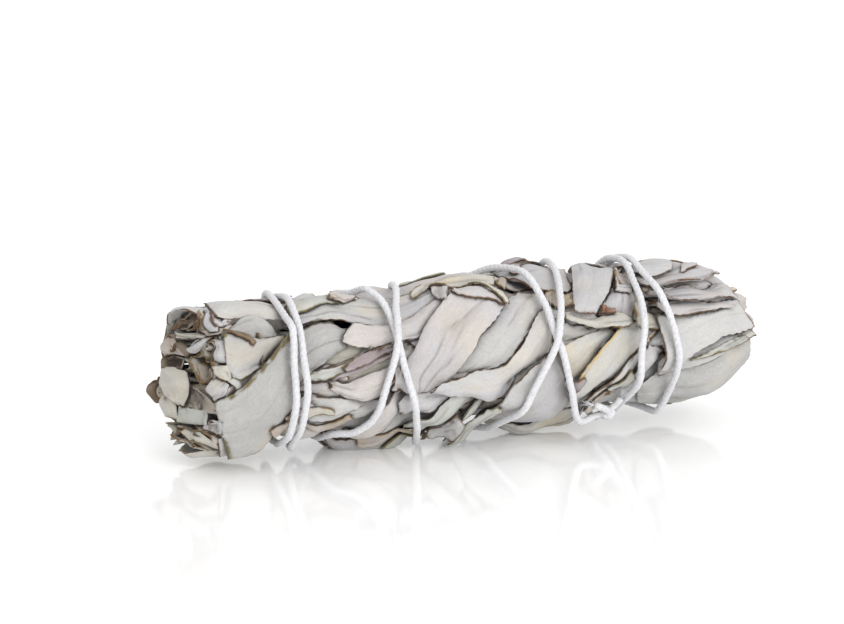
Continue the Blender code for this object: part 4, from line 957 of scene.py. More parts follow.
def smooth_line(points, share):
    """Places at these shares of a smooth curve through a few points."""
    points = np.array(points, float)
    knots = run_lengths(points)
    knots /= knots[-1]
    slopes = np.gradient(points, knots, axis=0)
    n = np.clip(np.searchsorted(knots, share) - 1, 0, len(knots) - 2)
    gap = (knots[n + 1] - knots[n])[:, None]
    t = (share - knots[n])[:, None] / gap
    return ((1 + 2 * t) * (1 - t) ** 2 * points[n] + t * (1 - t) ** 2 * gap * slopes[n]
            + t ** 2 * (3 - 2 * t) * points[n + 1] + t ** 2 * (t - 1) * gap * slopes[n + 1])


def leaf_frame(leaf, share):
    """A leaf's midline, the way across it and half its width, at these shares of its length."""
    left, right = smooth_line(flattened(leaf.left), share), smooth_line(flattened(leaf.right), share)
    width = np.maximum(np.hypot(*(left - right).T), 0.2)
    return (left + right) / 2, (left - right) / width[:, None], width / 2


class LeafGrid:
    """A leaf laid flat: shares u along it, w across it and v off its midline, and its sizes."""

    def __init__(self, leaf, rng, grain):
        spine, _, half = leaf_frame(leaf, np.linspace(0, 1, 41))
        length = run_lengths(spine)[-1]
        u, w = unit_grid(round(length / grain), round((2 * half.mean() + 2) / grain))
        v = w * 2 - 1
        spine, side, half = leaf_frame(leaf, u[:, 0])
        scallops = np.sin(2 * np.pi * u * length / CRENEL + 3 * np.sign(v)) * (0.6 + 0.4 * np.sin(9 * u))
        half = half[:, None] + leaf.crenels * scallops
        self.left = (v > 0).astype(float)
        self.half = half + 0.22 * soft_noise(rng, u, self.left, length / 2.5, 1)
        self.u, self.v, self.w, self.length = u, v, w, length
        self.spine, self.side = spine[:, None], side[:, None]
        self.from_edge = np.minimum((1 - np.abs(v)) * self.half, np.minimum(u, 1 - u) * length)

    def places(self, across):
        """The places (along, round) on the bundle that lie so far across the leaf from its midline."""
        place = self.spine + self.side * across[..., None]
        return place[..., 0], np.degrees(place[..., 1] / ARC)

    def noise(self, rng, cells_u, cells_w):
        """Smooth random values over the leaf."""
        return soft_noise(rng, self.u, self.w, cells_u, cells_w)


def rolled(across, half, angle, radius):
    """Where a sheet's rim goes when it is rolled over: how far across and how far up."""
    flat_half = half - radius
    bend = np.clip(np.abs(across) - flat_half, 0, None) / radius
    bend = np.minimum(bend, angle)
    tight = radius * (1 - 0.12 * bend)
    reach = np.where(np.abs(across) > flat_half, flat_half + tight * np.sin(bend), np.abs(across))
    return reach * np.sign(across), tight * (1 - np.cos(bend))


def creases(rng, u, v, half, count):
    """Long folds down a leaf: how high they stand, and how dark the painted shade in their bottoms is."""
    height, dark = np.zeros_like(u), np.zeros_like(u)
    for _ in range(count):
        place, lean = rng.uniform(-0.8, 0.8), rng.uniform(-0.6, 0.6)
        first, length = rng.uniform(-0.2, 0.5), rng.uniform(0.35, 0.9)
        depth = rng.choice([-1, 1, 1]) * rng.uniform(0.06, 0.21)
        width = rng.uniform(0.35, 0.9)
        bent = 0.12 * np.sin(3 * u + 9 * place)
        line = np.abs(v - place - lean * (u - 0.5) - bent) * half / width
        last = first + length
        within = smooth_step(first, first + 0.15, u) * (1 - smooth_step(last - 0.2, last, u))
        height += depth * np.exp(-line) * within
        dark += np.exp(-(line * width / 0.16) ** 2) * within * (depth < -0.1)
    return height, dark


def masks(rng, u, w, rim, stains, stain_from=0.25, dark=0.0, gap=0.0):
    """The masks that a leaf's finish reads: brown rims, its own tone, stains, and painted shade in fold
    bottoms and gaps.
    """
    return {
        "rim": rim,
        "tone": np.full_like(u, rng.uniform(-1, 1)),
        "stain": smooth_step(stain_from, 0.9, soft_noise(rng, u, w, *stains)),
        "fold": np.broadcast_to(np.clip(dark, 0, 1), u.shape),
        "gap": np.broadcast_to(gap, u.shape),
    }


def painted(rng, grid, rim, dark):
    """The masks of a whole leaf, with a thin brown line all round it that is wider here and there."""
    patch = np.clip(0.45 + 1.1 * grid.noise(rng, grid.length / 2.2, 4), 0.12, 1)
    reach = RIM_WIDTH * (0.6 + 1.8 * smooth_step(0.1, 0.8, grid.noise(rng, grid.length / 4, 2)))
    wide = np.exp(-grid.from_edge / reach) * np.clip(rim * patch * 1.8, 0, 1)
    line = np.exp(-(grid.from_edge / RIM_LINE) ** 2) * (0.35 + 0.65 * patch)
    return masks(rng, grid.u, grid.w, np.maximum(wide, line), (grid.length / 6, 2), dark=dark)


def lay_leaf(name, leaf, grid, along, round_, middle, marks, replaced=(), lowest=0.0):
    """Make a leaf's sheet, so far out at these places of the bundle, and add it to the pile."""
    PILE.add(along, round_, middle + leaf_thickness() / 2)
    places = to_world(along, round_, middle)
    places[..., 2] = np.maximum(places[..., 2], lowest)
    flat = np.stack([grid.u * grid.length, grid.v * grid.half], axis=-1)
    sheet(name, places, flat, grid.from_edge, leaf.finish, marks, replaced)


def rolled_rims(rng, leaf, grid, room):
    """Where a leaf's rims and tip go when they roll over: along, round, how far up, and how far rolled."""
    free = smooth_step(0.3, LEAST_ROLL_ROOM + 0.3, room)
    u, v = grid.u, grid.v
    angle = np.radians(np.where(v > 0, *leaf.rolls)) * free
    angle *= 0.8 + 0.35 * soft_noise(rng, u, grid.left, grid.length / 4, 1)
    angle *= smooth_step(0, 0.12, u) * smooth_step(0, 0.12, 1 - u)
    strip = np.maximum(grid.half - ROLLED_RIM, 0.2) + ROLLED_RIM * np.maximum(angle, 1)
    across, lift = rolled(v * strip, grid.half, np.maximum(angle, 1e-3), ROLLED_RIM)
    lift *= smooth_step(0.3, 1.2, angle)
    along, round_ = grid.places(across)
    if leaf.tip:
        bend = math.radians(leaf.tip) * smooth_step(0.86, 1.0, u) * free
        lift = lift + 0.9 * (1 - np.cos(bend))
        along = along - np.sign(grid.spine[-1, 0, 0] - grid.spine[0, 0, 0]) * 1.1 * (bend - np.sin(bend))
    return along, round_, lift, angle


def leaf_relief(rng, leaf, grid, count):
    """How high the folds, waves and midrib of a leaf stand, and how dark the painted shade in its folds is.
    """
    relief, dark = creases(rng, grid.u, grid.v, grid.half, count)
    wide = grid.half.mean()
    relief += 0.14 * grid.noise(rng, grid.length / 5, wide / 2)
    relief += 0.06 * grid.noise(rng, grid.length / 1.6, wide * 1.4)
    relief -= leaf.rib * np.exp(-(grid.v * grid.half / 0.4) ** 2) * smooth_step(0, 0.1, 1 - grid.u)
    return relief, dark


def wrap_leaf(name, leaf, number, above):
    """Make a leaf of the wrap: a fine sheet that lies where its node lies, with its edges pressed down."""
    rng = np.random.default_rng(number)
    thickness = leaf_thickness()
    grid = LeafGrid(leaf, rng, bpy.context.scene.stick_sizes.leaf_grain / MM)
    along, round_ = grid.places(grid.v * grid.half)
    out = smoothed(fill_gaps(outer_face(faces_of([name]), along, round_)), SMOOTHING)
    room = smoothed(headroom(above, along, round_, out + FACE_GAP).clip(0, 3), 2)
    along, round_, lift, angle = rolled_rims(rng, leaf, grid, room)
    relief, dark = leaf_relief(rng, leaf, grid, 5 + number % 3)

    middle = out - thickness / 2 + relief + lift
    floor = PILE.read(along, round_) + thickness / 2 + GAP_KEPT
    hug = np.exp(-(grid.from_edge / EDGE_HUG) ** 2) * (1 - smooth_step(0.7, 1.6, angle))
    hug *= np.clip(0.75 + 0.5 * grid.noise(rng, grid.length / 3, 2), 0, 1)
    most = MOST_HUG
    if name in REST_NAMES:
        hug = np.exp(-(grid.from_edge / REST_EDGE) ** 2)
        most = REST_HUG
    middle -= hug * np.clip(middle - floor, 0, most)
    ceiling = out + room - ROOM_KEPT - thickness / 2
    middle = np.minimum(smoothed(np.maximum(middle, floor), 1), np.maximum(ceiling, out - thickness / 2))

    marks = painted(rng, grid, leaf.rim, dark)
    curled = smooth_step(1.3, 2.4, angle) * np.exp(-(grid.from_edge / CURLED_STRIP) ** 4)
    curled *= np.clip(0.7 + 0.7 * grid.noise(rng, grid.length / 1.2, 6), 0, 1)
    marks["rim"] = np.maximum(marks["rim"], curled)
    lay_leaf(name + "_felt", leaf, grid, along, round_, middle, marks, (name,))


def scrap(name, leaf, number, above):
    """Make a torn bit of leaf that lies on the leaves of the wrap, under the string."""
    rng = np.random.default_rng(SCRAP_SEEDS + number)
    thickness = leaf_thickness()
    grid = LeafGrid(leaf, rng, SCRAP_GRAIN)
    along, round_ = grid.places(grid.v * grid.half)
    base = smoothed(PILE.read(along, round_), SCRAP_SMOOTHING)
    relief, dark = creases(rng, grid.u, grid.v, grid.half, 3)
    waves = soft_noise(rng, grid.u, np.zeros_like(grid.u), grid.length / 3, 1)
    bow = SCRAP_BOW * (1 - grid.v ** 2) * waves
    middle = base + np.maximum(relief + bow, 0) + thickness / 2
    sunk = base - SCRAP_SINK
    ceiling = sunk + headroom(above, along, round_, sunk + FACE_GAP) - ROOM_KEPT - thickness / 2
    marks = painted(rng, grid, leaf.rim, dark)
    lay_leaf(name, leaf, grid, along, round_, np.minimum(middle, ceiling), marks)


def smooth_route():
    """The string's route as close places (along, round), on one smooth curve through the winding's points."""
    marks = [(along, turn * 360 + round_) for turn, row in enumerate(WINDING) for along, round_ in row]
    flat = flattened(marks)
    flat = np.vstack([2 * flat[0] - flat[1], flat, 2 * flat[-1] - flat[-2]])
    knots = np.concatenate([[0], np.cumsum(np.sqrt(np.hypot(*np.diff(flat, axis=0).T)))])
    dense = []
    for n in range(1, len(flat) - 2):
        p, t = flat[n - 1:n + 3], knots[n - 1:n + 3]
        for share in np.linspace(0, 1, 12, endpoint=False):
            now = t[1] + share * (t[2] - t[1])
            a = [((t[k + 1] - now) * p[k] + (now - t[k]) * p[k + 1]) / (t[k + 1] - t[k]) for k in range(3)]
            b = [((t[k + 2] - now) * a[k] + (now - t[k]) * a[k + 1]) / (t[k + 2] - t[k]) for k in range(2)]
            dense.append(((t[2] - now) * b[0] + (now - t[1]) * b[1]) / (t[2] - t[1]))
    route = evenly(np.array(dense + [flat[-2]]), ROUTE_STEP)
    return np.stack([route[:, 0], np.degrees(route[:, 1] / ARC)], axis=1)


def passes(tree, along, round_):
    """How far out the string's middle lies each time that the way out from the axis goes through it."""
    met, reach = [], 0.0
    while True:
        gap = next_face(tree, along, round_, reach + PAST_FACE)
        if gap is None:
            break
        reach += PAST_FACE + gap
        met.append(reach)
    return [(enter + leave) / 2 for enter, leave in zip(met[::2], met[1::2]) if leave - enter > THINNEST_PASS]


def string_line():
    """The middle of the string in world millimetres: its route, as far out as its node lies."""
    tree = faces_of(["cotton_string"])
    route = smooth_route()
    last = passes(tree, *route[2])[0]
    out = []
    for along, round_ in route:
        middles = passes(tree, along, round_)
        if middles:
            last = min(middles, key=lambda middle: abs(middle - last))
        out.append(last)
    out = np.array(out)
    for _ in range(3):
        out[1:-1] = (out[:-2] + 2 * out[1:-1] + out[2:]) / 4
    return to_world(route[:, 0], route[:, 1], out)


def evenly(points, step):
    """The same run with its places a step apart."""
    steps = run_lengths(points)
    even = np.arange(0, steps[-1], step)
    return np.stack([np.interp(even, steps, values) for values in points.T], axis=1)


def directions(points):
    """Unit vectors along a run, and two across it that turn as little as they can."""
    ahead = np.gradient(points, axis=0)
    ahead /= np.linalg.norm(ahead, axis=1)[:, None]
    first = np.zeros_like(ahead)
    first[0] = np.cross(ahead[0], [0.3, 0.2, 0.9])
    first[0] /= np.linalg.norm(first[0])
    for n in range(1, len(points)):
        turned = first[n - 1] - ahead[n] * (first[n - 1] @ ahead[n])
        first[n] = turned / np.linalg.norm(turned)
    return ahead, first, np.cross(ahead, first)


def add_tube(shape, points, radius, roundness):
    """Add a closed tube along these places, in millimetres, to a bmesh. Radius may be one for each place."""
    curve = bpy.data.curves.new("strand", "CURVE")
    curve.dimensions = "3D"
    curve.bevel_depth = MM
    curve.bevel_resolution = roundness
    curve.use_fill_caps = True
    spline = curve.splines.new("POLY")
    spline.points.add(len(points) - 1)
    spline.points.foreach_set("co", np.hstack([points * MM, np.ones((len(points), 1))]).ravel())
    spline.points.foreach_set("radius", np.broadcast_to(radius, len(points)).astype(np.float32))
    guide = add_object("strand", curve)
    bpy.context.view_layer.update()
    mesh = bpy.data.meshes.new_from_object(guide.evaluated_get(bpy.context.evaluated_depsgraph_get()))
    bpy.data.objects.remove(guide)
    bpy.data.curves.remove(curve)
    shape.from_mesh(mesh)
    bpy.data.meshes.remove(mesh)


def twisted(shape, points, width, plies, lay):
    """Add a string along a run: plies wound round each other."""
    _, first, second = directions(points)
    length = run_lengths(points)
    away, ply = width * PLY_AWAY, width * PLY_WIDTH / 2
    for n in range(plies):
        turn = 2 * np.pi * (length / lay + n / plies)
        strand = points + away * (np.cos(turn)[:, None] * first + np.sin(turn)[:, None] * second)
        add_tube(shape, strand, ply, 1)


def fuzz(shape, points, width, count, rng):
    """Add loose cotton fibres that stand off a run of string."""
    _, first, second = directions(points)
    for _ in range(count):
        n = rng.randrange(4, len(points) - 4)
        turn = rng.uniform(0, 2 * math.pi)
        way = first[n] * math.cos(turn) + second[n] * math.sin(turn)
        ahead = (points[n + 2] - points[n - 2]) * rng.choice([-1, 1]) * rng.uniform(0.5, 1.4)
        reach = rng.uniform(0.25, 0.9)
        share = np.linspace(0, 1, 5)[:, None]
        fibre = points[n] + way * width * 0.45 + ahead * share * 1.4 + way * reach * share ** 1.6
        fibre += second[n] * rng.uniform(-0.4, 0.4) * share ** 2
        fibre[:, 2] = np.maximum(fibre[:, 2], LOWEST_FIBRE)
        add_tube(shape, fibre, FIBRE, 0)


def knot(shape, line, width):
    """Add the knot that ties the string's ends: two loops round the place where they meet."""
    first, last = line[:KNOT_REACH], line[-KNOT_REACH:]
    apart = np.linalg.norm(first[:, None] - last[None], axis=2)
    a, b = np.unravel_index(apart.argmin(), apart.shape)
    middle = (first[a] + last[b]) / 2
    for run, place, turns in zip((first, last), (a, b), KNOT_TURNS):
        place = min(max(place, 2), len(run) - 3)
        ahead = run[place + 2] - run[place - 2]
        ahead /= np.linalg.norm(ahead)
        across = np.cross(ahead, [0, 0, 1.0])
        across /= np.linalg.norm(across)
        above = np.cross(across, ahead)
        turn = np.linspace(0, 2 * np.pi * turns, 30)[:, None]
        loop = KNOT_LOOP * width * (across * np.cos(turn) + above * np.sin(turn))
        add_tube(shape, middle + ahead * (turn / 9 - 0.3) + loop, width * KNOT_STRAND, 2)


def frayed_end(shape, root, way, rng):
    """Add the untwisted fibres at a cut end of the string."""
    for _ in range(FRAYED_FIBRES):
        spread = np.array([rng.uniform(-1, 1) for _ in range(3)])
        share = np.linspace(0, 1, 7)[:, None]
        path = root + way * FRAYED_LENGTH * rng.uniform(0.6, 1.0) * share
        path = path + spread * 0.75 * share ** 1.7 + np.array([0, 0, -0.4]) * share ** 2
        path[:, 2] = np.maximum(path[:, 2], LOWEST_FIBRE)
        add_tube(shape, path, FIBRE * rng.uniform(1.2, 2.4), 0)


def cotton_string():
    """Make the twisted string through all its turns, with its knot, frayed ends and fuzz."""
    rng = random.Random(STRING_SEED)
    sizes = bpy.context.scene.stick_sizes
    width = sizes.string_width / MM
    line = string_line()
    close = evenly(line, STRING_STEP)
    shape = bmesh.new()
    twisted(shape, close, width, sizes.string_plies, sizes.string_lay / MM)
    knot(shape, line, width)
    for end, inner in ((line[0], line[3]), (line[-1], line[-4])):
        way = (end - inner) / np.linalg.norm(end - inner)
        frayed_end(shape, end - way * 0.4, way, rng)
    fuzz(shape, close, width, FUZZ_FIBRES, rng)
    bmesh.ops.remove_doubles(shape, verts=shape.verts, dist=SAME_PLACE * MM)
    mesh = mesh_of(shape, "twisted_cotton")
    mesh.materials.append(cotton_material())
    mesh.shade_smooth()
    hand_over(add_object("twisted_cotton", mesh), ("cotton_string",))


def roll_path(name):
    """Middle and radius of a sprig's roll at each of its stations, read from its node."""
    corners = vectors(frame["nodes"][name].data.vertices, "co") / MM
    rows = []
    for k, station in enumerate(SPRIG_STATIONS):
        reach = END_REACH if k in (0, len(SPRIG_STATIONS) - 1) else STATION_REACH
        near = corners[np.abs(corners[:, 0] + STICK_MIDDLE - station) < reach]
        low, high = near[:, 1:].min(axis=0), near[:, 1:].max(axis=0)
        rows.append((*(low + high) / 2, (high - low).max() / 2))
    return np.array(rows)


def rolled_sprig(number, roll):
    """Make a sprig: a felted leaf rolled lengthwise round its stem, cut off ragged at the butt."""
    name = f"sprig_{number + 1}"
    rng = np.random.default_rng(SPRIG_SEEDS + number)
    path = roll_path(name)
    stations = np.concatenate([np.linspace(0, 22, 56), np.linspace(24, SPRIG_STATIONS[-1], 22)])
    m = round(roll.turns * ROLL_QUADS)
    u, w = unit_grid(len(stations) - 1, m)
    station = stations[:, None] + 0 * w
    cut = BUTT_CUT[0] + path[0, :2] @ BUTT_CUT[1:] + ROLLS_INSIDE
    rag = cut + roll.first + 1.1 * soft_noise(rng, 0 * w, w, 1, 6) + 0.5 * soft_noise(rng, 0 * w, w, 1, 16)
    along = station + rag * (1 - smooth_step(0, 16, station))
    middle_y, middle_z, radius = (np.interp(along, SPRIG_STATIONS, path[:, k]) for k in range(3))
    most = radius - leaf_thickness() / 2
    turn = math.radians(roll.start) + 2 * np.pi * roll.turns * w
    wide = roll.heart + (most - roll.heart) * w ** 0.8
    crumple = roll.crumple * soft_noise(rng, u, w, 9, m / 4) * smooth_step(0, 0.25, w)
    wide = np.minimum(wide * (1 + crumple), most)
    flare = 1 + 0.06 * (1 - smooth_step(0, 6, station))
    y = middle_y + wide * np.cos(turn) * flare
    z = middle_z + wide * np.sin(turn) * flare * roll.flat
    places = np.stack([along - STICK_MIDDLE, y, z], axis=-1)
    patch = 0.6 + 0.6 * soft_noise(rng, u, w, 20, m / 5)
    from_side = np.minimum((1 - w) * roll.turns * ROLL_TURN, 8)
    rim = np.clip(np.exp(-(station + 0.6) / 0.9) + 0.8 * np.exp(-from_side / 0.5), 0, 1) * patch * roll.rim
    marks = masks(rng, u, w, rim, (12, 4), 0.2)
    flat = np.stack([station, (w - 0.5) * roll.turns * ROLL_TURN], axis=-1)
    sheet(name + "_felt", places, flat, station + 0.3, roll.finish, marks, (name,))


def keep_inside(places, wraps):
    """Move the places that lie outside the wrap in under it."""
    for spot in np.ndindex(places.shape[:2]):
        x, y, z = places[spot]
        along = x + STICK_MIDDLE
        front, rise = -(y + FRONT_SHIFT), z - girth_axis(along)
        out = math.hypot(front, rise)
        wall = next_face(wraps, along, math.degrees(math.atan2(rise, front)))
        if wall and out > wall - FOLD_ROOM:
            kept = max(wall - FOLD_ROOM, 0) / out
            places[spot] = (x, -front * kept - FRONT_SHIFT, girth_axis(along) + rise * kept)


def butt_fold(number, fold, wraps):
    """Make a crumpled leaf of the cut end, from its cut edge back into the stick."""
    rng = np.random.default_rng(FOLD_SEEDS + number)
    length = run_lengths(fold.edge)[-1]
    u, w = unit_grid(round(length / FOLD_GRAIN), round(fold.depth / FOLD_GRAIN))
    cut = smooth_line(fold.edge, u[:, 0])
    middle = cut.mean(axis=0)
    places = middle + (cut - middle)[:, None] * (1 - 0.3 * w ** 2)[..., None]
    inside = smooth_step(0, 0.4, w)
    for axis in (1, 2):
        places[..., axis] += 0.26 * soft_noise(rng, u, w, length / 1.1, 2)
        places[..., axis] += 0.4 * inside * soft_noise(rng, u, w, length / 3, fold.depth / 4)
    places[..., 0] += w * fold.depth + 0.3 * (1 - w) * soft_noise(rng, u, 0 * w, length / 1.5, 1)
    keep_inside(places, wraps)
    from_cut = w * fold.depth
    from_edge = np.minimum(from_cut, np.minimum(u, 1 - u) * length)
    patch = np.clip(0.6 + 0.9 * soft_noise(rng, u, w, length / 2, 3), 0.2, 1)
    _, dark = creases(rng, w, u * 2 - 1, np.full_like(u, length / 2), 4)
    rim = np.exp(-from_edge / (0.17 + 0.4 * patch)) * np.clip(1.9 * patch * fold.rim, 0, 1)
    # Painted shade: the leaf is darkened the deeper it runs into the stick
    marks = masks(rng, u, w, rim, (length / 4, 2), dark=dark, gap=0.8 * smooth_step(0.6, 3.4, from_cut))
    flat = np.stack([from_cut, (u - 0.5) * length], axis=-1)
    sheet(f"butt_fold_{number + 1:02d}", places, flat, from_edge, fold.finish, marks)


def butt_flap(number, flap):
    """Make a leaf face folded over the cut end, between its two edges."""
    rng = np.random.default_rng(FLAP_SEEDS + number)
    length = run_lengths(flap.left)[-1]
    width = float(np.linalg.norm(np.subtract(flap.left, flap.right), axis=1).mean())
    u, w = unit_grid(max(6, round(length / FOLD_GRAIN)), max(6, round(width / FOLD_GRAIN)))
    left, right = smooth_line(flap.left, u[:, 0]), smooth_line(flap.right, u[:, 0])
    places = left[:, None] + (right - left)[:, None] * w[..., None]
    dome = (1 - (2 * w - 1) ** 2) * (1 - (2 * u - 1) ** 4)
    folds, dark = creases(rng, u, w * 2 - 1, np.full_like(u, width / 2), 6)
    waves = 0.3 * soft_noise(rng, u, w, length / 1.5, width / 1.5)
    places[..., 0] -= 0.8 * flap.bulge * dome + 2 * folds + waves
    places[..., 2] += 0.25 * soft_noise(rng, u, w, length / 2, width / 2)
    places[..., 0] = np.maximum(places[..., 0], CAD_BOX[0][0] / MM + leaf_thickness())
    from_edge = np.minimum(np.minimum(w, 1 - w) * width, np.minimum(u, 1 - u) * length)
    patch = np.clip(0.6 + 0.9 * soft_noise(rng, u, w, length / 2, 3), 0.15, 1)
    rim = np.exp(-from_edge / (0.15 + 0.3 * patch)) * np.clip(1.8 * patch * flap.rim, 0, 1) * (1 - 0.75 * w)
    # Painted shade: a hollow flap is darkened in its middle
    gap = np.clip(-flap.bulge, 0, 1) * 0.5 * dome
    marks = masks(rng, u, w, rim, (length / 4, 2), dark=dark, gap=gap)
    flat = np.stack([u * length, (w - 0.5) * width], axis=-1)
    sheet(f"butt_flap_{number + 1:02d}", places, flat, from_edge, flap.finish, marks)


def tip_rings():
    """Leaf tips that fill the open tip end, each with how deep under the wrap it lies."""
    rng = random.Random(RING_SEED)
    rows = []
    for depth, count, reach in TIP_RINGS:
        for n in range(count):
            turn = 360 * (n + rng.uniform(-0.2, 0.2)) / count - 90
            start = (TIP_ROOT + rng.uniform(-2, 2), turn)
            end = (reach + rng.uniform(-2.5, 1.5), turn + rng.uniform(-15, 15))
            finish = rng.choice(TIP_RING_FINISHES)
            rows.append((depth, blade(start, end, TIP_RING_WIDTH / count, rng.uniform(-1, 1), finish, 0.7)))
    return rows


def packed_leaf(name, leaf, number, wraps, depth=0.0):
    """Make a leaf inside the wrap, so deep under the wrap's leaves, where it fills the gaps between them."""
    rng = np.random.default_rng(PACKED_SEEDS + number)
    grid = LeafGrid(leaf, rng, PACKED_GRAIN)
    along, round_ = grid.places(grid.v * grid.half)
    under = headroom(wraps, along, round_, np.zeros_like(along), np.nan)
    out = smoothed(fill_gaps(under), PACKED_SMOOTHING)
    out = np.minimum(out, np.where(np.isnan(under), out, under)) - PACKED_GAP * (1 + number % 2)
    out = np.maximum(out - depth, LEAST_OUT)
    folds, dark = creases(rng, grid.u, grid.v, grid.half, 5)
    out += 0.35 * grid.noise(rng, grid.length / 4, grid.half.mean() / 1.5) + folds
    marks = painted(rng, grid, leaf.rim, dark)
    lay_leaf(name, leaf, grid, along, round_, out, marks, lowest=PACKED_LOWEST)


def packed_rows():
    """The leaves inside the wrap, in rows round the stick."""
    rng = random.Random(PACKED_SEED)
    rows = []
    for column, (first, last) in enumerate(PACKED_COLUMNS):
        for row in range(PACKED_ROUND):
            turn = 360 / PACKED_ROUND * (row + 0.5 * (column % 2)) + rng.uniform(-8, 8)
            slant = rng.uniform(-16, 16)
            start = (first + rng.uniform(-1, 1.5), turn - slant)
            end = (last + rng.uniform(-2, 2), turn + slant)
            width = PACKED_WIDTH + rng.uniform(-1.5, 1.5)
            rows.append(blade(start, end, width, 0.0, rng.choice(PACKED_FINISHES), 0.8))
    return rows


def group_nodes(name, inputs, outputs):
    """An empty shader node group with these sockets."""
    group = bpy.data.node_groups.new(name, "ShaderNodeTree")
    for socket, kind in inputs:
        group.interface.new_socket(socket, in_out="INPUT", socket_type=kind)
    for socket, kind in outputs:
        group.interface.new_socket(socket, in_out="OUTPUT", socket_type=kind)
    entry = group.nodes.new("NodeGroupInput")
    leave = group.nodes.new("NodeGroupOutput")
    return group, entry, leave


def feed(tree, socket, value):
    """Link a socket to another one, or set it to a value."""
    if isinstance(value, bpy.types.NodeSocket):
        tree.links.new(value, socket)
    else:
        socket.default_value = value


def add_node(tree, kind, settings=None, first=(), **inputs):
    """A node with its settings, and with its first sockets and those named fed. Names have _ for a space."""
    node = tree.nodes.new(kind)
    for key, value in (settings or {}).items():
        setattr(node, key, value)
    for socket, value in zip(node.inputs, first):
        feed(tree, socket, value)
    for key, value in inputs.items():
        feed(tree, node.inputs[key.replace("_", " ")], value)
    return node


def maths(tree, operation, *values):
    """What this operation makes of the values."""
    return add_node(tree, "ShaderNodeMath", {"operation": operation}, values).outputs[0]


def mix_colours(tree, share, first, second, blend="MIX"):
    """The first colour with its share of the second."""
    node = add_node(tree, "ShaderNodeMix", {"data_type": "RGBA", "blend_type": blend})
    for index, value in ((0, share), (6, first), (7, second)):
        feed(tree, node.inputs[index], value)
    return node.outputs[2]


def ramp(tree, value, low, high):
    """A share that rises from 0 at low to 1 at high."""
    node = add_node(tree, "ShaderNodeMapRange", {"interpolation_type": "SMOOTHSTEP"},
                    Value=value, From_Min=low, From_Max=high)
    return node.outputs["Result"]


def noise(tree, place, scale, detail=2.0, rough=0.5):
    node = add_node(tree, "ShaderNodeTexNoise", Vector=place, Scale=scale, Detail=detail, Roughness=rough)
    return node.outputs["Fac"]


def felt_group():
    """How a felted sage leaf is coloured, with painted shade in its folds and crevices, and the height of its
    veins, puckers and hairs.
    """
    colour, number = "NodeSocketColor", "NodeSocketFloat"
    sockets = [(name, colour) for name in ("Main", "Patch", "Rim", "Stain", "Shade")] + [("Stained", number)]
    group, entry, leave = group_nodes("sage_felt", sockets, [("Color", colour), ("Height", number)])
    given = entry.outputs
    place = group.nodes.new("ShaderNodeTexCoord").outputs["Object"]
    flat = add_node(group, "ShaderNodeUVMap", {"uv_map": "UVMap"}).outputs["UV"]
    split = add_node(group, "ShaderNodeSeparateXYZ", Vector=flat)
    along, across = split.outputs["X"], split.outputs["Y"]

    def mark(name):
        return add_node(group, "ShaderNodeAttribute", {"attribute_name": name}).outputs["Fac"]

    def plus(first, second):
        return maths(group, "ADD", first, second)

    def minus(first, second):
        return maths(group, "SUBTRACT", first, second)

    def times(first, second):
        return maths(group, "MULTIPLY", first, second)

    def grain(scale, detail=2.0, rough=0.5):
        return noise(group, place, scale, detail, rough)

    off_rib = maths(group, "ABSOLUTE", across)
    slant = plus(minus(along, times(off_rib, 0.8)), times(grain(300), 0.003))
    stripe = maths(group, "PINGPONG", slant, VEIN_GAP * MM)
    side_veins = minus(1.0, ramp(group, stripe, 0.0, VEIN_WIDTH * MM))
    rib = minus(1.0, ramp(group, off_rib, RIB_FROM * MM, RIB_TO * MM))
    veins = maths(group, "MAXIMUM", times(side_veins, 0.35), rib)

    blotch = times(ramp(group, grain(140, 3), 0.38, 0.66), 0.7)
    tint = mix_colours(group, blotch, given["Main"], given["Patch"])
    value = plus(times(minus(grain(2600, 4, 0.7), 0.5), 0.34), 0.8)
    drawn_out = add_node(group, "ShaderNodeCombineXYZ", X=times(along, 0.2), Y=across).outputs[0]
    value = plus(value, times(minus(noise(group, drawn_out, 1500, 3), 0.5), 0.16))
    value = plus(value, times(mark("tone"), 0.05))
    value = minus(value, times(veins, 0.03))
    # Painted shade: the bottoms of the deep folds are darkened
    value = minus(value, times(mark("fold"), 0.3))
    shade = add_node(group, "ShaderNodeCombineColor", Red=value, Green=value, Blue=value).outputs["Color"]
    tint = mix_colours(group, 1.0, tint, shade, "MULTIPLY")
    tint = mix_colours(group, times(mark("stain"), given["Stained"]), tint, given["Stain"])
    rim = times(mark("rim"), plus(times(ramp(group, grain(900, 3), 0.3, 0.6), 0.5), 0.6))
    tint = mix_colours(group, ramp(group, rim, 0.15, 0.7), tint, given["Rim"])
    # Painted shade: the gap mask darkens the crevices toward the Shade colour
    ragged = plus(times(grain(500, 3), 0.8), 0.6)
    gap = ramp(group, times(mark("gap"), ragged), 0.03, 0.4)
    tint = mix_colours(group, times(gap, GAP_SHADE), tint, given["Shade"])
    group.links.new(tint, leave.inputs["Color"])

    pucker = add_node(group, "ShaderNodeTexVoronoi", {"feature": "SMOOTH_F1"}, Vector=place, Scale=1000.0)
    height = plus(times(pucker.outputs["Distance"], PUCKER_HEIGHT), times(grain(4200), HAIR_HEIGHT))
    group.links.new(minus(height, times(veins, VEIN_HEIGHT)), leave.inputs["Height"])
    return group


def soft_material(name, roughness, specular, sheen=0.0, sheen_roughness=0.5):
    """A new material, with its node tree and its shader."""
    material = bpy.data.materials.new(name)
    material.use_nodes = True
    shader = material.node_tree.nodes["Principled BSDF"]
    shader.inputs["Roughness"].default_value = roughness
    shader.inputs["Specular IOR Level"].default_value = specular
    shader.inputs["Sheen Weight"].default_value = sheen
    shader.inputs["Sheen Roughness"].default_value = sheen_roughness
    return material, material.node_tree, shader


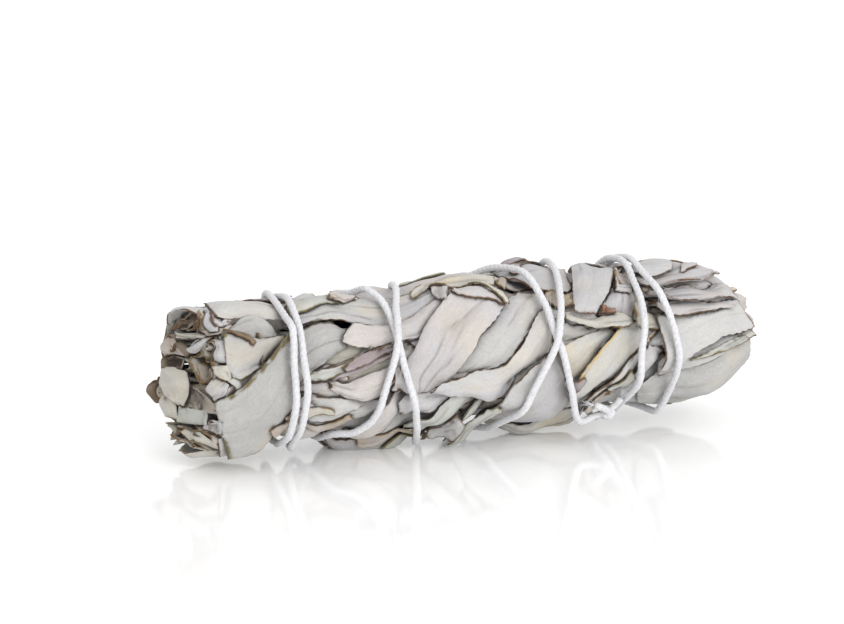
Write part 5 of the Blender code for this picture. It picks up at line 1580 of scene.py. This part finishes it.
def cotton_material():
    """Soft cotton, with fine mottles of lighter and darker fibre."""
    colour = bpy.context.scene.stick_colours.cotton
    material, tree, shader = soft_material("cotton", 0.85, 0.2, 0.3, 0.5)
    place = tree.nodes.new("ShaderNodeTexCoord").outputs["Object"]
    dark = tuple(value * 0.86 for value in colour)
    mottles = ramp(tree, noise(tree, place, 2600, 4, 0.6), 0.35, 0.65)
    feed(tree, shader.inputs["Base Color"], mix_colours(tree, mottles, (*dark, 1), (*colour, 1)))
    height = noise(tree, place, 6000, 3)
    bump = add_node(tree, "ShaderNodeBump", Strength=0.5, Distance=0.0001, Height=height)
    feed(tree, shader.inputs["Normal"], bump.outputs["Normal"])
    return material


def felt_material(name, group):
    """A felted leaf's finish, with its own colours."""
    main, patch, rim, stained = FELTS[name]
    material, tree, shader = soft_material("felt_" + name, 0.92, 0.25, 0.15, 0.4)
    felt = add_node(tree, "ShaderNodeGroup", {"node_tree": group}, Stained=stained)
    colours = {"Main": main, "Patch": patch, "Rim": rim, "Stain": "stained", "Shade": "shade"}
    for socket, colour in colours.items():
        felt.inputs[socket].default_value = (*getattr(bpy.context.scene.stick_colours, colour), 1)
    bump = add_node(tree, "ShaderNodeBump", Strength=0.55, Distance=0.00018, Height=felt.outputs["Height"])
    feed(tree, shader.inputs["Base Color"], felt.outputs["Color"])
    feed(tree, shader.inputs["Normal"], bump.outputs["Normal"])
    return material


def leaf_finishes():
    """All the leaves' finishes, by name."""
    if not FINISHES:
        group = felt_group()
        FINISHES.update((name, felt_material(name, group)) for name in FELTS)
    return FINISHES


class SMUDGE_OT_wrap_leaves(bpy.types.Operator):
    """Make the leaves that wrap the stick"""
    bl_idname = "smudge.wrap_leaves"
    bl_label = "Wrap Leaves"

    def execute(self, context):
        leaves = back_leaves() + [blade(*row) for row in UNDER_BLADES] + FRONT_LEAVES
        leaves += [blade(*row) for row in REST_BLADES]
        names = [f"wrap_leaf_{n + 1:02d}" for n in range(len(leaves))]
        for number, (name, leaf) in enumerate(zip(names, leaves)):
            wrap_leaf(name, leaf, number, faces_of(names[number + 1:] + ["cotton_string"]))
        above = faces_of(["cotton_string"])
        for number, leaf in enumerate(back_scraps() + SCRAPS):
            scrap(f"leaf_scrap_{number + 1:02d}", leaf, number, above)
        return {"FINISHED"}


class SMUDGE_OT_packed_leaves(bpy.types.Operator):
    """Make the leaves that fill the gaps under the wrap, and the tip end"""
    bl_idname = "smudge.packed_leaves"
    bl_label = "Packed Leaves"

    def execute(self, context):
        wraps = wrap_faces()
        for number, leaf in enumerate(packed_rows()):
            packed_leaf(f"packed_leaf_{number + 1:02d}", leaf, number, wraps)
        for number, row in enumerate(TIP_BLADES):
            packed_leaf(f"tip_leaf_{number + 1}", blade(*row), FIRST_TIP_BLADE + number, wraps)
        for number, (depth, leaf) in enumerate(tip_rings()):
            packed_leaf(f"inner_tip_{number + 1:02d}", leaf, FIRST_RING_LEAF + number, wraps, depth)
        return {"FINISHED"}


class SMUDGE_OT_rolled_sprigs(bpy.types.Operator):
    """Make the rolled sprigs of the core, which show at the cut end"""
    bl_idname = "smudge.rolled_sprigs"
    bl_label = "Rolled Sprigs"

    def execute(self, context):
        for number, roll in enumerate(ROLLS):
            rolled_sprig(number, roll)
        return {"FINISHED"}


class SMUDGE_OT_butt_folds(bpy.types.Operator):
    """Make the crumpled leaves of the cut end"""
    bl_idname = "smudge.butt_folds"
    bl_label = "Butt Folds"

    def execute(self, context):
        wraps = wrap_faces()
        for number, fold in enumerate(FOLDS):
            butt_fold(number, fold, wraps)
        for number, flap in enumerate(FLAPS):
            butt_flap(number, flap)
        return {"FINISHED"}


class SMUDGE_OT_cotton_string(bpy.types.Operator):
    """Make the twisted cotton string with its knot and loose fibres"""
    bl_idname = "smudge.cotton_string"
    bl_label = "Cotton String"

    def execute(self, context):
        cotton_string()
        return {"FINISHED"}


class SMUDGE_OT_crevice_shade(bpy.types.Operator):
    """Mark the crevices between all the leaves, which their finish darkens with painted shade"""
    bl_idname = "smudge.crevices"
    bl_label = "Crevices"

    def execute(self, context):
        paint_crevice_shade([piece for piece in context.scene.objects if piece.vertex_groups.get("feather")])
        return {"FINISHED"}


class SMUDGE_OT_stage(bpy.types.Operator):
    """Make the floor, the light and the camera"""
    bl_idname = "smudge.stage"
    bl_label = "Stage"

    def execute(self, context):
        floor_and_world()
        key_light()
        photo_camera()
        return {"FINISHED"}


def floor_and_world():
    """The white floor and the white room."""
    bpy.context.scene.view_settings.view_transform = "Standard"
    mesh = flat_mesh("floor", 1, 1, FLOOR_SIZE)
    material, _, shader = soft_material("floor_gloss", 0.1, 1.0)
    shader.inputs["Base Color"].default_value = (FLOOR_WHITE, FLOOR_WHITE, FLOOR_WHITE, 1)
    shader.inputs["Emission Color"].default_value = (1, 1, 1, 1)
    shader.inputs["Emission Strength"].default_value = FLOOR_GLOW
    mesh.materials.append(material)
    add_object("floor", mesh)
    world = bpy.data.worlds.new("white_room")
    bpy.context.scene.world = world
    world.use_nodes = True
    background = world.node_tree.nodes["Background"]
    background.inputs["Color"].default_value = (1, 1, 1, 1)
    background.inputs["Strength"].default_value = 1.0


def turned(thing, place, way, axis):
    """Put a thing at a place, with one of its axes turned along this way and its Y axis up."""
    thing.location = place
    thing.rotation_mode = "QUATERNION"
    thing.rotation_quaternion = way.to_track_quat(axis, "Y")


def key_light():
    """The one soft light, in front of the stick and above it."""
    light = bpy.data.lights.new("key", "AREA")
    light.size = KEY_SIZE
    light.energy = KEY_POWER
    turned(add_object("key", light), KEY_PLACE, Vector(KEY_PLACE), "Z")


def photo_camera():
    """The camera at the photograph's viewing angle."""
    turn, rise = math.radians(CAMERA_AZIMUTH), math.radians(CAMERA_ELEVATION)
    back = Vector((math.sin(turn) * math.cos(rise), -math.cos(turn) * math.cos(rise), math.sin(rise)))
    right = (-back).cross(Vector((0, 0, 1))).normalized()
    up = right.cross(-back)
    look = Vector((LOOK_ALONG - STICK_MIDDLE, -FRONT_SHIFT, LOOK_HEIGHT))
    lens = bpy.data.cameras.new("photo_camera")
    lens.lens = CAMERA_LENS
    lens.clip_start = 0.01
    lens.clip_end = 20
    camera = add_object("photo_camera", lens)
    place = (look + right * LOOK_RIGHT + up * LOOK_UP + back * CAMERA_DISTANCE) * MM
    turned(camera, place, -back, "-Z")
    bpy.context.scene.camera = camera


class SMUDGE_PT_panel(bpy.types.Panel):
    """The stick's sizes, colours and pieces"""
    bl_idname = "SMUDGE_PT_panel"
    bl_label = "Smudge Stick"
    bl_space_type = "VIEW_3D"
    bl_region_type = "UI"
    bl_category = "Smudge Stick"

    def draw(self, context):
        for group in (context.scene.stick_sizes, context.scene.stick_colours):
            box = self.layout.box()
            for name in group.__annotations__:
                box.prop(group, name)
        for operator in OPERATORS:
            self.layout.operator(operator.bl_idname)


OPERATORS = [SMUDGE_OT_packed_leaves, SMUDGE_OT_wrap_leaves, SMUDGE_OT_rolled_sprigs, SMUDGE_OT_butt_folds,
             SMUDGE_OT_cotton_string, SMUDGE_OT_crevice_shade, SMUDGE_OT_stage]
CLASSES = [StickSizes, StickColours, *OPERATORS, SMUDGE_PT_panel]


def register():
    for kind in CLASSES:
        bpy.utils.register_class(kind)
    bpy.types.Scene.stick_sizes = PointerProperty(type=StickSizes)
    bpy.types.Scene.stick_colours = PointerProperty(type=StickColours)


def unregister():
    del bpy.types.Scene.stick_colours
    del bpy.types.Scene.stick_sizes
    for kind in reversed(CLASSES):
        bpy.utils.unregister_class(kind)


def main():
    register()
    bpy.ops.smudge.stage()
    bpy.ops.smudge.packed_leaves()
    bpy.ops.smudge.wrap_leaves()
    bpy.ops.smudge.rolled_sprigs()
    bpy.ops.smudge.butt_folds()
    bpy.ops.smudge.cotton_string()
    bpy.ops.smudge.crevices()
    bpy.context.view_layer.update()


if __name__ == "__main__":
    main()
